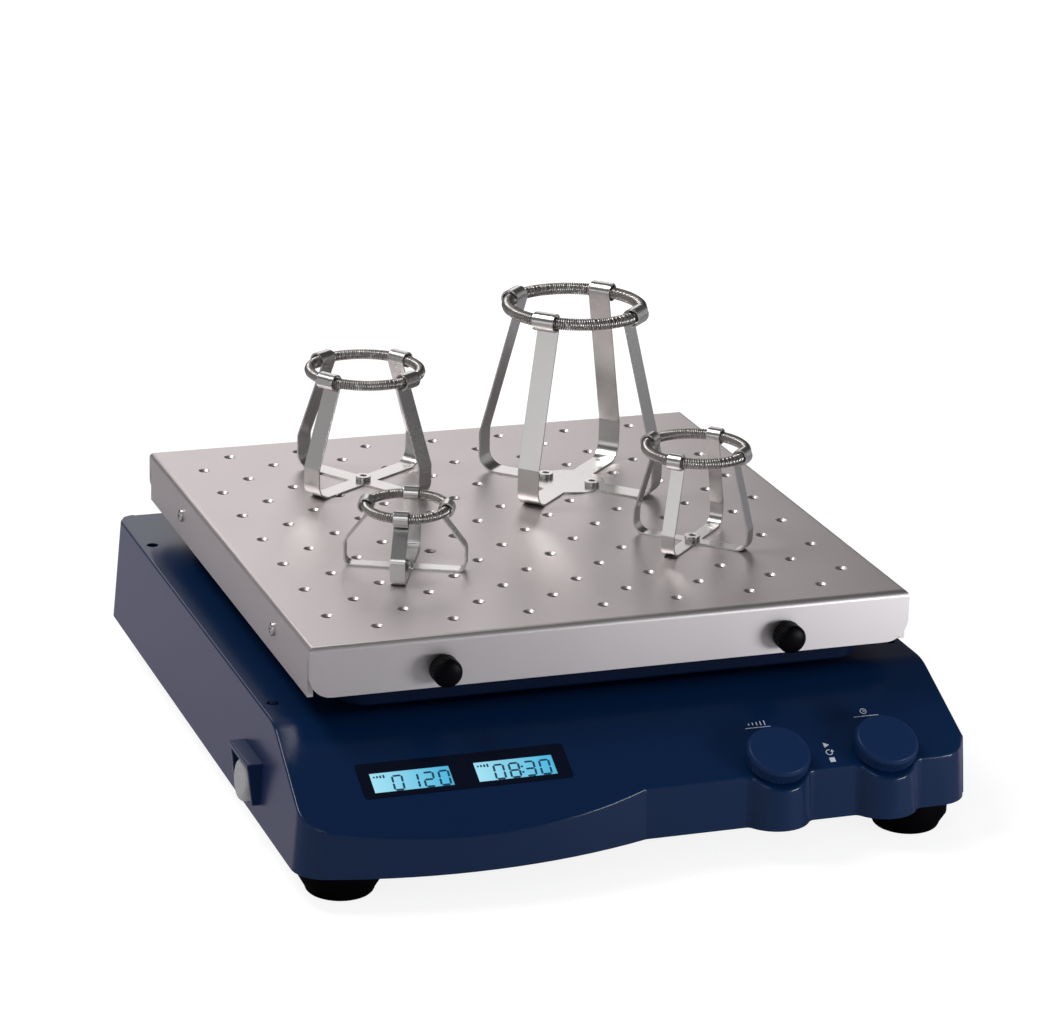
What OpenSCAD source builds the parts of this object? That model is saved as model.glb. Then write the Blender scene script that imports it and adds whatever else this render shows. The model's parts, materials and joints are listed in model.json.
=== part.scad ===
// Orbital shaker for a laboratory bench, with a drilled spring-clamp platform.
// Millimetres. X to the right, Y to the back, Z up. The origin is on the bench, midway between the feet.

/* [Platform] */
// Width of the platform, left to right
platform_w = 330; // [300:5:345]
// Depth of the platform, front to back
platform_d = 330; // [310:5:345]
// Thickness of the platform's aluminium sheet
sheet_t = 3; // [2:0.5:4]
// Height of the turned-down flanges, from the top face
flange_h = 28; // [24:1:31]
// Outside radius of the sheet's bends
bend_r = 3.5; // [3.25:0.25:6]
// Radius of the lower corners of the front and rear flanges
flange_corner_r = 12; // [6:1:16]
// Distance between neighbouring holes in one row
hole_pitch = 41; // [36:1:46]
// Least distance from a hole to the platform's edge
hole_edge = 18; // [12:1:20]
// Bore of the threaded holes in the platform
hole_d = 4.2; // [4:0.1:5]
// Diameter of the countersink at the mouth of each hole
hole_sink_d = 6.6; // [5.6:0.2:8]

/* [Carrier] */
// How far the carrier stands in from the platform's left and right edges
carrier_inset = 22; // [18:1:28]
// How far the carrier stands in from the platform's front and rear edges
carrier_inset_y = 8; // [7:1:14]
// Height of the carrier, from its open underside to the platform's sheet
carrier_h = 35; // [33:1:38]
// Thickness of the carrier's side walls
carrier_wall = 4; // [3:0.5:6]
// Thickness of the carrier's top
carrier_top_t = 4; // [3:0.5:5]
// Radius of the carrier's vertical corners
carrier_corner_r = 14; // [8:1:20]

/* [Orbit drive] */
// Diameter of the circle that every point of the platform travels
orbit_d = 10; // [6:1:12]
// Place of the drive axis behind the middle of the feet
drive_y = 28; // [23:1:32]
// Diameter of the drive spindle and of its eccentric pin
spindle_d = 15; // [15:1:17]
// Outside diameter of the spindle's ball bearings
spindle_bearing_d = 35; // [32:1:38]
// Width of the spindle's ball bearings
spindle_bearing_w = 11; // [9:1:11]
// Diameter of the support cranks' journals and pins
crank_d = 10; // [8:1:12]
// Outside diameter of the cranks' ball bearings
crank_bearing_d = 26; // [22:1:28]
// Width of the cranks' ball bearings
crank_bearing_w = 8; // [6:1:9]
// Distance of the support cranks to the left and right of the drive axis
crank_x = 105; // [95:1:112]
// Distance of the support cranks before and behind the drive axis
crank_y = 100; // [90:1:110]
// Running clearance of every shaft in its bearing, on the radius
running_gap = 0.05; // [0.02:0.01:0.1]
// Diameter of the drive pulley's belt track
pulley_d = 110; // [90:1:120]
// Diameter of the motor pulley's belt track
motor_pulley_d = 22; // [18:1:30]
// Width of the drive belt
belt_w = 8; // [6:1:9]
// Thickness of the drive belt
belt_t = 2; // [1.5:0.5:3]
// Distance from the drive axis back to the motor's axis
motor_offset = 97; // [90:1:104]
// Diameter of the motor's body
motor_d = 62; // [50:1:66]

/* [Housing] */
// Width of the housing at its lower edge
housing_w = 370; // [360:1:380]
// Place of the housing's rear wall at its lower edge
housing_rear = 209; // [204:0.5:215]
// Place of the recessed front wall before the middle of the feet, at its lower edge
housing_front = 193.5; // [188:0.5:198]
// Height of the deck above the housing's lower edge
deck_h = 58.5; // [56:0.5:64]
// Height of the recessed front wall
front_wall_h = 27.5; // [24:0.5:32]
// Slope of the control panel
panel_tilt = 27; // [24:1:30]
// Radius of the blend between the deck and the control panel
panel_blend_r = 28; // [20:1:60]
// Lean of every outer wall from upright
draft_angle = 4.5; // [3:0.5:6]
// Wall thickness of the housing
wall = 3; // [2.5:0.25:4]
// Radius of the front corners
front_corner_r = 18; // [14:1:24]
// Radius of the rear corners
rear_corner_r = 15; // [12:1:22]
// Radius of the broad bulge on the left of the front
bulge_r = 295; // [270:1:320]
// How far the bulge stands before the recessed front wall
bulge_out = 15; // [10:0.5:20]
// Distance of the bulge's middle from the housing's left side
bulge_in = 92; // [88:1:98]
// Radius of the hollow where the bulge meets the recessed wall
bulge_hollow_r = 4; // [2:0.5:8]
// Gap between the deck and the carrier above it
deck_gap = 5.5; // [4:0.5:8]

/* [Base] */
// Height of the rubber feet
foot_h = 18; // [15:1:22]
// Diameter of the feet where they meet the base plate
foot_top_d = 43; // [38:1:46]
// Diameter of the feet on the bench
foot_low_d = 36; // [30:1:40]
// Height below which the feet taper
foot_waist_z = 9; // [6:0.5:11]
// Distance of the feet's middles from the housing's left and right sides
foot_in = 28.5; // [27:0.5:36]
// Distance of the feet before and behind the middle
foot_y = 171; // [160:1:174]
// Thickness of the steel base plate
base_t = 2.5; // [2:0.5:3]

/* [Knobs] */
// Diameter of a control knob
knob_d = 34.5; // [30:0.5:37]
// Height of a control knob
knob_h = 8; // [7:0.5:12]
// Distance of the right knob's middle from the housing's right side
knob_in = 50; // [46:0.5:54]
// Distance between the two knobs
knob_spacing = 61; // [56:0.5:66]
// Distance of the knobs down the control panel
knob_down = 60; // [57:0.5:63]
// Gap under a knob that is not pressed
knob_gap = 1.4; // [1.2:0.1:2]
// Travel of a knob when it is pressed
knob_travel = 0.8; // [0.5:0.1:1]
// Number of fine ribs round a knob
knob_ribs = 60; // [40:4:72]
// Radius of the half-round lobe of the front wall below each knob
lobe_r = 19.5; // [18:0.5:22]
// Radius of the hollows beside each lobe
lobe_hollow_r = 4; // [2:0.5:6]
// Diameter of an encoder's shaft
encoder_shaft_d = 6; // [5:0.5:7]

/* [Display] */
// Width of the dark display window
window_w = 110.5; // [104:0.5:116]
// Height of the dark display window, along the panel
window_h = 22.7; // [20.7:0.5:25.7]
// Thickness of the display window
window_t = 1.5; // [1:0.25:2]
// Distance of the display window's middle from the housing's left side
window_in = 94; // [89:0.5:99]
// Distance of the display window's middle down the control panel
window_down = 44.4; // [42.4:0.5:46.4]
// Dark margin of the window to the left and right of the figure displays
window_margin = 6.65; // [5:0.05:9]
// Height of one backlit figure display, along the panel
lcd_h = 13; // [11:0.5:15]
// Gap between the two figure displays
lcd_gap = 13.2; // [10:0.2:16]
// Distance of the displays' middle line below the window's, along the panel
lcd_drop = 1.4; // [0:0.2:2]

/* [Power switch] */
// Width of the hood over the switch, front to back
hood_w = 36; // [34:1:42]
// How far the hood's roof stands out of the wall
hood_out = 8.25; // [7:0.25:10]
// Height of the hood, from its roof to the lower tips of its cheeks
hood_h = 23; // [21:1:26]
// Thickness of the hood's roof and cheeks
hood_t = 3; // [2:0.25:3.5]
// Height of the hood's roof above the housing's lower edge
hood_top = 32; // [30:0.5:36]
// Place of the switch before the middle of the feet
switch_y = 101; // [95:1:107]
// Diameter of the round switch body in the wall
switch_d = 20; // [18:0.5:22]

/* [Thumb screws] */
// Distance of the thumb screws to the left and right of the platform's middle
thumb_x = 94.5; // [85:0.5:110]
// Depth of the thumb screws below the platform's top face
thumb_drop = 17.5; // [14:0.5:19]
// Diameter of a thumb screw's head
thumb_d = 15.5; // [12:0.5:17]
// Length of a thumb screw's head
thumb_l = 11; // [9:0.5:14]
// Height of the dome at the end of a thumb screw's head
thumb_dome = 3; // [2:0.5:5]

/* [Spring clamps] */
// Thickness of the clamps' stainless band
band_t = 1; // [0.8:0.1:1.2]
// Bore in the clamps' bases
clamp_hole_d = 5.2; // [5:0.1:5.6]
// Radius of the crease in every finger at its belly
crease_r = 5; // [3:0.5:7]

/* [Large clamp] */
// Radius of the large clamp at its belly
large_belly_r = 54; // [52:0.5:56]
// Radius of the low bends of the large clamp
large_bend_r = 10; // [9:0.5:11]
// Height of the belly of the large clamp above the platform
large_belly_z = 22; // [20:1:24]
// Radius of the ring of the large clamp
large_ring_r = 37.5; // [36:0.5:39]
// Height of the ring of the large clamp above the platform
large_ring_z = 104; // [100:1:108]
// Width of the bands of the large clamp
large_band_w = 12.8; // [11.8:0.1:13.8]
// Diameter of the spring of the large clamp
large_spring_d = 7; // [6.5:0.5:7.5]

/* [Medium clamp] */
// Radius of the medium clamp at its belly
medium_belly_r = 44.5; // [42.5:0.5:46.5]
// Radius of the low bends of the medium clamp
medium_bend_r = 8.5; // [7.5:0.5:9.5]
// Height of the belly of the medium clamp above the platform
medium_belly_z = 18; // [16:1:20]
// Radius of the ring of the medium clamp
medium_ring_r = 31; // [29.5:0.5:32.5]
// Height of the ring of the medium clamp above the platform
medium_ring_z = 66; // [62:1:70]
// Width of the bands of the medium clamp
medium_band_w = 11; // [10:0.1:12]
// Diameter of the spring of the medium clamp
medium_spring_d = 6; // [5.5:0.5:6.5]

/* [Small clamp] */
// Radius of the small clamp at its belly
small_belly_r = 33.5; // [31.5:0.5:35.5]
// Radius of the low bends of the small clamp
small_bend_r = 6.5; // [5.5:0.5:7.5]
// Height of the belly of the small clamp above the platform
small_belly_z = 12; // [10:1:14]
// Radius of the ring of the small clamp
small_ring_r = 27; // [25.5:0.5:28.5]
// Height of the ring of the small clamp above the platform
small_ring_z = 53; // [49:1:57]
// Width of the bands of the small clamp
small_band_w = 7.7; // [6.7:0.1:8.7]
// Diameter of the spring of the small clamp
small_spring_d = 6; // [5.5:0.5:6.5]

/* [Mini clamp] */
// Radius of the mini clamp at its belly
mini_belly_r = 32.5; // [30.5:0.5:34.5]
// Radius of the low bends of the mini clamp
mini_bend_r = 4; // [3:0.5:5]
// Height of the belly of the mini clamp above the platform
mini_belly_z = 12; // [10:1:14]
// Radius of the ring of the mini clamp
mini_ring_r = 21.5; // [20:0.5:23]
// Height of the ring of the mini clamp above the platform
mini_ring_z = 34; // [30:1:38]
// Width of the bands of the mini clamp
mini_band_w = 8; // [7:0.1:9]
// Diameter of the spring of the mini clamp
mini_spring_d = 5.5; // [5:0.5:6]

/* [Hidden] */

$fn = 64;
eps = 0.01;

// Colours of the finishes
navy = [0.06, 0.12, 0.27];
navy_knob = [0.09, 0.16, 0.33];
alloy = [0.72, 0.70, 0.69];
bright = [0.80, 0.80, 0.80];
black = [0.05, 0.05, 0.06];
board = [0.06, 0.30, 0.16];

// Heights
housing_z = foot_h;
deck_z = housing_z + deck_h;
carrier_z = deck_z + deck_gap;
sheet_z = carrier_z + carrier_h;
top_z = sheet_z + sheet_t;
plate_lift = 0.5;
plate_top = housing_z + plate_lift + base_t;
under_deck = deck_z - wall;

// Orbit: at rest the platform stands at the front of its circle
orbit_r = orbit_d / 2;
drive_axis = [0, drive_y];
carriage = drive_axis + [0, -orbit_r];

// Walls of the housing
lean = tan(draft_angle);
half_w = housing_w / 2;
bulge_x = half_w - bulge_in;
foot_x = half_w - foot_in;
knob_x = half_w - knob_in - knob_spacing;
window_x = half_w - window_in;
lcd_w = (window_w - lcd_gap) / 2 - window_margin;
lcd_spacing = lcd_w + lcd_gap;
panel_low_y = -housing_front + lean * front_wall_h;
panel_low_z = housing_z + front_wall_h;
break_y = panel_low_y + (deck_z - panel_low_z) / tan(panel_tilt);
bulge_y = -housing_front - bulge_out + bulge_r;
bulge_corner_x = -half_w + front_corner_r;
bulge_corner_y = bulge_y - sqrt(pow(bulge_r - front_corner_r, 2) - pow(bulge_corner_x + bulge_x, 2));
knob_y = break_y - knob_down * cos(panel_tilt);
lobe_y = knob_y;
knob_places = [knob_x, knob_x + knob_spacing];

// Screws
m4_d = 4;
m4_head_d = 7.6;
m4_head_h = 3;
m5_d = 5;
screw_gap = 0.1;
clear_gap = 0.3;
deck_screw_d = 3;
deck_head_d = 5.8;
deck_screw_in = 7.5;
deck_screw_x = half_w - lean * deck_h - deck_screw_in;
deck_screw_y = [-103.5, 149.5];
deck_recess_d = 6.6;
deck_recess = 4;
deck_screw_l = 8;
boss_d = 9;
frame_t = 2;
frame_z = deck_z - 12.5;
base_screw_in = 89;
base_screw_x = half_w - base_screw_in;
base_screw_l = 9;
base_screw_y = [-housing_front + 8, housing_rear - 9];
small_boss_d = 10;

// Bearing hub and posts
hub_d = spindle_bearing_d + 21;
hub_flange_d = hub_d + 42;
hub_flange_t = 6;
hub_lip = 2;
hub_bore_gap = 3.5;
hub_low_z = plate_top + hub_lip;
hub_high_z = hub_low_z + 2 * spindle_bearing_w;
hub_top = hub_high_z + spindle_bearing_w;
post_d = crank_bearing_d + 8;
post_flange_d = post_d + 14;
post_flange_t = 5;
post_stand = 2.5;
post_top = deck_z + post_stand;
post_low_z = post_top - 3.5 * crank_bearing_w;
post_high_z = post_top - crank_bearing_w;
opening_gap = 1.5;
post_places = [for (sx = [-1, 1], sy = [-1, 1]) drive_axis + [sx * crank_x, sy * crank_y]];

// Drive stack
collar_t = 3;
collar_z = hub_top + clear_gap;
pulley_z = collar_z + collar_t;
pulley_rim = 2;
pulley_t = belt_w + 2 * pulley_rim + 2 * clear_gap;
belt_z = pulley_z + pulley_rim + clear_gap;
weight_z = deck_z + 3.5;
weight_t = 12;
weight_r = 58;
weight_hub_r = 20;
pin_z = weight_z + weight_t + 1;
carrier_ceiling = sheet_z - carrier_top_t;
pin_top = carrier_ceiling - 3.5;
seat_lip = 1;
carrier_seat_z = pin_top - 1.5 - spindle_bearing_w;
crank_web_z = post_top + 1;
crank_web_t = 6;
crank_seat_z = pin_top - 3 - crank_bearing_w;
shaft_low = hub_low_z + 0.5;
motor_axis = drive_axis + [0, motor_offset];
motor_mount_t = 3;
motor_z = plate_top + motor_mount_t;
motor_top = pulley_z - 4;
motor_shaft_d = 6;
motor_plate_w = motor_d + 34;
motor_screw_x = motor_plate_w / 2 - 9;
motor_screw_y = motor_d / 2 - 10;
hub_screw_r = hub_flange_d / 2 - 9;

// Spring clamps: place in half pitches, turn, the named sizes and the screws' offset in half pitches
half_pitch = hole_pitch / 2;
large = [[2.5, 2.5], 45, large_belly_r, large_bend_r, large_belly_z, large_ring_r, large_ring_z,
    large_band_w, large_spring_d, [-0.5, 0.5]];
medium = [[-3, 4], 33, medium_belly_r, medium_bend_r, medium_belly_z, medium_ring_r, medium_ring_z,
    medium_band_w, medium_spring_d, [0, 0]];
small = [[4, -3], 45, small_belly_r, small_bend_r, small_belly_z, small_ring_r, small_ring_z,
    small_band_w, small_spring_d, [0, 0]];
mini = [[-4, -3], 65, mini_belly_r, mini_bend_r, mini_belly_z, mini_ring_r, mini_ring_z,
    mini_band_w, mini_spring_d, [0, 0]];
function turn(c) = c[1];
function belly_r(c) = c[2];
function low_bend_r(c) = c[3];
function belly_z(c) = c[4];
function ring_r(c) = c[5];
function ring_z(c) = c[6];
function band_w(c) = c[7];
function spring_d(c) = c[8];
function screw_step(c) = c[9] * half_pitch;
clamp_head_d = 8.5;
clamp_head_h = 2.6;

// Thumb screws: gap under the head, length in the carrier, and the hole and boss that take it
thumb_gap = 0.8;
thumb_in = 10;
thumb_reach = carrier_inset_y + carrier_wall + thumb_in;
thumb_hole = carrier_wall + thumb_in - thumb_gap + 1;
thumb_boss = thumb_hole + 4;
thumb_boss_d = 16;

// Screws through the platform's side flanges
platform_screw_y = [-98, 90];
screw_drop = 14;
side_screw_d = 4;
side_head_d = 7.5;
side_head_h = 2.2;

// Power switch in the left wall
switch_rim = 2;
switch_flange_t = 1.2;
switch_under_roof = 2.5;
rocker_r = switch_d / 2 - 3;
switch_rise = hood_top - hood_t - switch_d / 2 - switch_under_roof;

// Mains inlet in the rear wall
inlet_in = 67;
inlet_x = half_w - inlet_in;
inlet_w = 27.5;
inlet_h = 20;
inlet_z = housing_z + 26;

// Knob stack, along the axis that stands square on the panel
encoder_t = 7;
encoder_neck_d = 9;
plunger_t = 2;
plunger_z = -wall - encoder_t + 1 + knob_travel + clear_gap;
knob_roof = 3;

function arc(c, r, a0, a1, n) = [for (i = [0:n])
    c + r * [cos(a0 + (a1 - a0) * i / n), sin(a0 + (a1 - a0) * i / n)]];
function reversed(p) = [for (i = [len(p) - 1:-1:0]) p[i]];
function unit(v) = v / norm(v);
// Outline of a band of thickness t that follows a path in the plane
function band(path, t) = let (n = len(path) - 1,
    side = [for (i = [0:n]) let (d = unit(path[min(i + 1, n)] - path[max(i - 1, 0)])) [-d[1], d[0]] * t / 2])
    concat([for (i = [0:n]) path[i] + side[i]], reversed([for (i = [0:n]) path[i] - side[i]]));

// Flat plate with round vertical corners, centred, with its underside on z = 0
module round_plate(w, d, r, t) {
    linear_extrude(t) round_rect(w, d, r);
}

module round_rect(w, d, r) {
    square([w - 2 * r, d], center = true);
    square([w, d - 2 * r], center = true);
    for (sx = [-1, 1], sy = [-1, 1]) translate([sx * (w / 2 - r), sy * (d / 2 - r)]) circle(r);
}

// Places children on the control panel: x to the right, "down" along the slope, z square to it
module on_panel(x, down) {
    translate([x, break_y, deck_z]) rotate([panel_tilt, 0, 0]) translate([0, -down, 0]) children();
}

module at(p) {
    translate([p[0], p[1], 0]) children();
}

module screw(d, length, head_d, head_h) {
    translate([0, 0, -length]) cylinder(d = d, h = length + eps);
    difference() {
        cylinder(d = head_d, h = head_h);
        translate([0, 0, head_h * 0.4]) cylinder(d = head_d * 0.5, h = head_h, $fn = 6);
    }
}

// Round upright post of the housing's form, leaning in as every wall does
module lean_post(r, inset) {
    low = housing_z - 6;
    high = deck_z + 4;
    translate([0, 0, low]) cylinder(r1 = r - inset - lean * (low - housing_z),
        r2 = r - inset - lean * (high - housing_z), h = high - low, $fn = 96);
}

// Hollow that grows upward beside a leaning post and a leaning wall
module lean_hollow(r, inset) {
    low = housing_z - 7;
    high = deck_z + 5;
    translate([0, 0, low]) cylinder(r1 = r + inset + lean * (low - housing_z),
        r2 = r + inset + lean * (high - housing_z), h = high - low, $fn = 64);
}

// Fills the corner between a round post and the recessed front wall, hollowed to radius f
module hollow_corner(c, r, f, side, inset) {
    fy = -housing_front - f;
    fx = c[0] + side * sqrt(pow(r + f, 2) - pow(c[1] - fy, 2));
    difference() {
        translate([0, 0, housing_z - 6]) linear_extrude(deck_h + 10)
            polygon([c, [fx, fy], [fx, -housing_front + front_corner_r]]);
        translate([fx, fy, 0]) lean_hollow(f, inset);
    }
}

// Cross-section of the housing from front to back, moved in by "inset"
module side_profile(inset) {
    far = 320;
    low = housing_z - (inset > 0 ? 5 : 0);
    rise = inset / cos(panel_tilt);
    blend = panel_blend_r - inset;
    touch = blend * tan(panel_tilt / 2);
    corner = [break_y + inset * tan(panel_tilt / 2), deck_z - inset];
    centre = corner + [touch, -blend];
    rotate([90, 0, 90]) translate([0, 0, -far]) linear_extrude(2 * far) polygon(concat(
        [[far, low], [far, deck_z - inset]],
        arc(centre, blend, 90, 90 + panel_tilt, 9),
        [[-far, deck_z - rise - (break_y + far) * tan(panel_tilt)], [-far, low]]));
}

// The housing's form with every wall moved in by "inset"
module housing_form(inset) {
    low = housing_z - 6;
    high = deck_z + 4;
    w_low = half_w - inset - lean * (low - housing_z);
    w_high = half_w - inset - lean * (high - housing_z);
    f_low = -housing_front + inset + lean * (low - housing_z);
    f_high = -housing_front + inset + lean * (high - housing_z);
    r_low = housing_rear - inset - lean * (low - housing_z);
    r_high = housing_rear - inset - lean * (high - housing_z);
    side_front = min(bulge_corner_y, -housing_front + front_corner_r);
    side_rear = housing_rear - rear_corner_r;
    rear_x = half_w - rear_corner_r;
    front_x = half_w - front_corner_r;
    bulge_touch = bulge_corner_x - front_corner_r * (bulge_x + bulge_corner_x) / -(bulge_r - front_corner_r);
    intersection() {
        union() {
            // side walls
            translate([0, side_rear, 0]) rotate([90, 0, 0]) linear_extrude(side_rear - side_front)
                polygon([[-w_low, low], [w_low, low], [w_high, high], [-w_high, high]]);
            // rear wall
            translate([-rear_x, 0, 0]) rotate([90, 0, 90]) linear_extrude(2 * rear_x)
                polygon([[0, low], [r_low, low], [r_high, high], [0, high]]);
            // recessed front wall
            translate([-20, 0, 0]) rotate([90, 0, 90]) linear_extrude(front_x + 20)
                polygon([[0, low], [f_low, low], [f_high, high], [0, high]]);
            for (s = [-1, 1]) translate([s * rear_x, side_rear, 0]) lean_post(rear_corner_r, inset);
            translate([front_x, -housing_front + front_corner_r, 0]) lean_post(front_corner_r, inset);
            translate([bulge_corner_x, bulge_corner_y, 0]) lean_post(front_corner_r, inset);
            // broad bulge
            intersection() {
                translate([-bulge_x, bulge_y, 0]) rotate([0, 0, 180]) lean_post(bulge_r, inset, $fn = 180);
                translate([bulge_touch, -housing_front - 2 * bulge_out, low])
                    cube([-bulge_touch + 10, housing_front + bulge_out, high - low]);
            }
            hollow_corner([-bulge_x, bulge_y], bulge_r, bulge_hollow_r, 1, inset);
            for (x = knob_places) {
                translate([x, lobe_y, 0]) lean_post(lobe_r, inset);
                for (s = [-1, 1]) hollow_corner([x, lobe_y], lobe_r, lobe_hollow_r, s, inset);
            }
        }
        side_profile(inset);
    }
}

// Round bosses that hang from the deck onto the frame, and from the panel and deck onto the base plate
module housing_bosses() {
    intersection() {
        union() {
            for (s = [-1, 1], y = deck_screw_y) translate([s * deck_screw_x, y, frame_z + frame_t])
                cylinder(d = boss_d, h = deck_h);
            for (s = [-1, 1], y = base_screw_y) translate([s * base_screw_x, y, plate_top])
                cylinder(d = small_boss_d, h = deck_h);
        }
        housing_form(wall / 2);
    }
}

// Hood over the power switch: a roof and two cheeks that taper down to the wall
module switch_hood() {
    roof = housing_z + hood_top;
    root = half_w - wall;
    out = half_w - lean * hood_top + hood_out;
    tip = half_w - lean * (hood_top - hood_h) + 3.7;
    translate([0, -switch_y - hood_w / 2, 0]) for (y = [0, hood_w - hood_t]) translate([0, y + hood_t, 0])
        rotate([90, 0, 0]) linear_extrude(hood_t)
            polygon([[-root, roof], [-out, roof], [-tip, roof - hood_h], [-root, roof - hood_h]]);
    translate([-out, -switch_y - hood_w / 2, roof - hood_t]) cube([out - root, hood_w, hood_t]);
}

module switch_axis() {
    translate([-half_w + lean * switch_rise, -switch_y, housing_z + switch_rise])
        rotate([0, draft_angle - 90, 0]) rotate([0, 0, 180]) children();
}
module housing() {
    color(navy) difference() {
        union() {
            difference() {
                housing_form(0);
                difference() {
                    housing_form(wall);
                    housing_bosses();
                }
            }
            switch_hood();
        }
        // openings for the spindle and the support posts
        at(drive_axis) translate([0, 0, under_deck - 1]) cylinder(d = hub_d - 10, h = wall + 2);
        for (p = post_places) at(p) translate([0, 0, under_deck - 1])
            cylinder(d = post_d + 2 * opening_gap, h = wall + 2);
        // sunk deck screws
        for (s = [-1, 1], y = deck_screw_y) translate([s * deck_screw_x, y, 0]) {
            translate([0, 0, housing_z]) cylinder(d = deck_screw_d + 2 * screw_gap, h = deck_h);
            translate([0, 0, deck_z - deck_recess - m4_head_h]) cylinder(d = deck_recess_d, h = deck_h);
        }
        for (s = [-1, 1], y = base_screw_y) translate([s * base_screw_x, y, plate_top - 1])
            cylinder(d = m4_d + 2 * screw_gap, h = 11);
        // display window and its ledge
        on_panel(-window_x, window_down) {
            translate([0, 0, -window_t])
                round_plate(window_w + 2 * clear_gap, window_h + 2 * clear_gap, 2, wall);
            translate([0, 0, -2 * wall]) round_plate(window_w - 4, window_h - 4, 1, 3 * wall);
        }
        // holes for the encoders' threaded necks
        for (x = knob_places) on_panel(x, knob_down) translate([0, 0, -2 * wall])
            cylinder(d = encoder_neck_d + 2 * clear_gap, h = 3 * wall);
        // round hole for the power switch
        switch_axis() translate([0, 0, -2 * wall]) cylinder(d = switch_d + 2 * clear_gap, h = 3 * wall);
        // mains inlet at the rear
        translate([inlet_x, housing_rear - 2 * wall, inlet_z]) rotate([-90, 0, 0])
            translate([0, 0, -wall]) linear_extrude(4 * wall)
                square([inlet_w + 2 * clear_gap, inlet_h + 2 * clear_gap], center = true);
    }
}
// Steel plate that closes the housing from below, with a row of air slots at the front
module base_plate() {
    slot_w = 4;
    slot_l = 46;
    slot_step = 9;
    slot_y = -95;
    color(bright * 0.7) difference() {
        intersection() {
            housing_form(wall + clear_gap);
            translate([-half_w, -housing_front - 2 * bulge_out, housing_z + plate_lift])
                cube([housing_w, housing_front + housing_rear + 2 * bulge_out, base_t]);
        }
        translate([0, 0, housing_z - 1]) {
            for (sx = [-1, 1], sy = [-1, 1]) translate([sx * foot_x, sy * foot_y])
                cylinder(d = m5_d + 2 * screw_gap, h = base_t + 4);
            for (s = [-1, 1], y = base_screw_y) translate([s * base_screw_x, y])
                cylinder(d = m4_d + 2 * screw_gap, h = base_t + 4);
            for (i = [-4:4]) translate([i * slot_step, slot_y])
                round_plate(slot_w, slot_l, slot_w / 2 - 0.1, base_t + 4);
            for (a = [45:90:315]) at(drive_axis) rotate(a) translate([hub_screw_r, 0])
                cylinder(d = m5_d + 2 * screw_gap, h = base_t + 4);
        }
    }
}

// Feet whose narrow spigots seat on the base plate, clear of the housing's edge
module rubber_feet() {
    top = housing_z + plate_lift;
    rim_z = housing_z - clear_gap;
    spigot_r = foot_low_d / 2 - 6;
    lip = 2.5;
    round_r = 3;
    head_h = 8;
    color(black) for (sx = [-1, 1], sy = [-1, 1]) translate([sx * foot_x, sy * foot_y, 0]) difference() {
        rotate_extrude() polygon(concat([[0, 0], [foot_low_d / 2 - round_r, 0]],
            arc([foot_low_d / 2 - round_r, round_r], round_r, -90, 0, 5),
            [[foot_top_d / 2, foot_waist_z], [foot_top_d / 2, rim_z], [spigot_r, rim_z],
            [spigot_r, top], [0, top]]));
        translate([0, 0, -eps]) cylinder(d = m5_d * 2 + 2, h = head_h);
        cylinder(d = m5_d + 2 * screw_gap, h = top + 1);
        translate([0, 0, -eps]) difference() {
            cylinder(d = foot_low_d - 8, h = 1);
            cylinder(d = foot_low_d - 8 - 2 * lip, h = 1);
        }
    }
}

module foot_screws() {
    color(bright) for (sx = [-1, 1], sy = [-1, 1]) translate([sx * foot_x, sy * foot_y, 8]) rotate([180, 0, 0])
        screw(m5_d, plate_top + 4 - 8, m5_d * 1.8, 4);
}

module deck_screws() {
    color(black) for (s = [-1, 1], y = deck_screw_y)
        translate([s * deck_screw_x, y, deck_z - deck_recess - m4_head_h])
            screw(deck_screw_d, deck_screw_l, deck_head_d, m4_head_h);
}

module base_screws() {
    color(bright) for (s = [-1, 1], y = base_screw_y) translate([s * base_screw_x, y, housing_z + plate_lift])
        rotate([180, 0, 0]) screw(m4_d, base_t + base_screw_l, m4_head_d, 2.2);
}

// Steel frame under the deck: it sits on the support posts and takes the deck screws
module deck_frame() {
    side = deck_screw_x + 3.5;
    front = deck_screw_y[0] - 9;
    rear = deck_screw_y[1] + 9;
    web = 26;
    gap_x = crank_x - web;
    gap_front = drive_y - pulley_d / 2 - 10;
    gap_rear = rear - 12;
    color(bright * 0.7) translate([0, 0, frame_z]) linear_extrude(frame_t) difference() {
        translate([0, (front + rear) / 2]) round_rect(2 * side, rear - front, 6);
        translate([0, (gap_front + gap_rear) / 2]) round_rect(2 * gap_x, gap_rear - gap_front, 10);
        for (s = [-1, 1]) translate([s * (crank_x + side) / 2, drive_y])
            round_rect(side - crank_x - 16, 110, 8);
        for (p = post_places) translate(p) circle(d = post_d + 2 * clear_gap);
        for (s = [-1, 1], y = deck_screw_y) translate([s * deck_screw_x, y])
            circle(d = deck_screw_d + 2 * screw_gap);
    }
}

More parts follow.
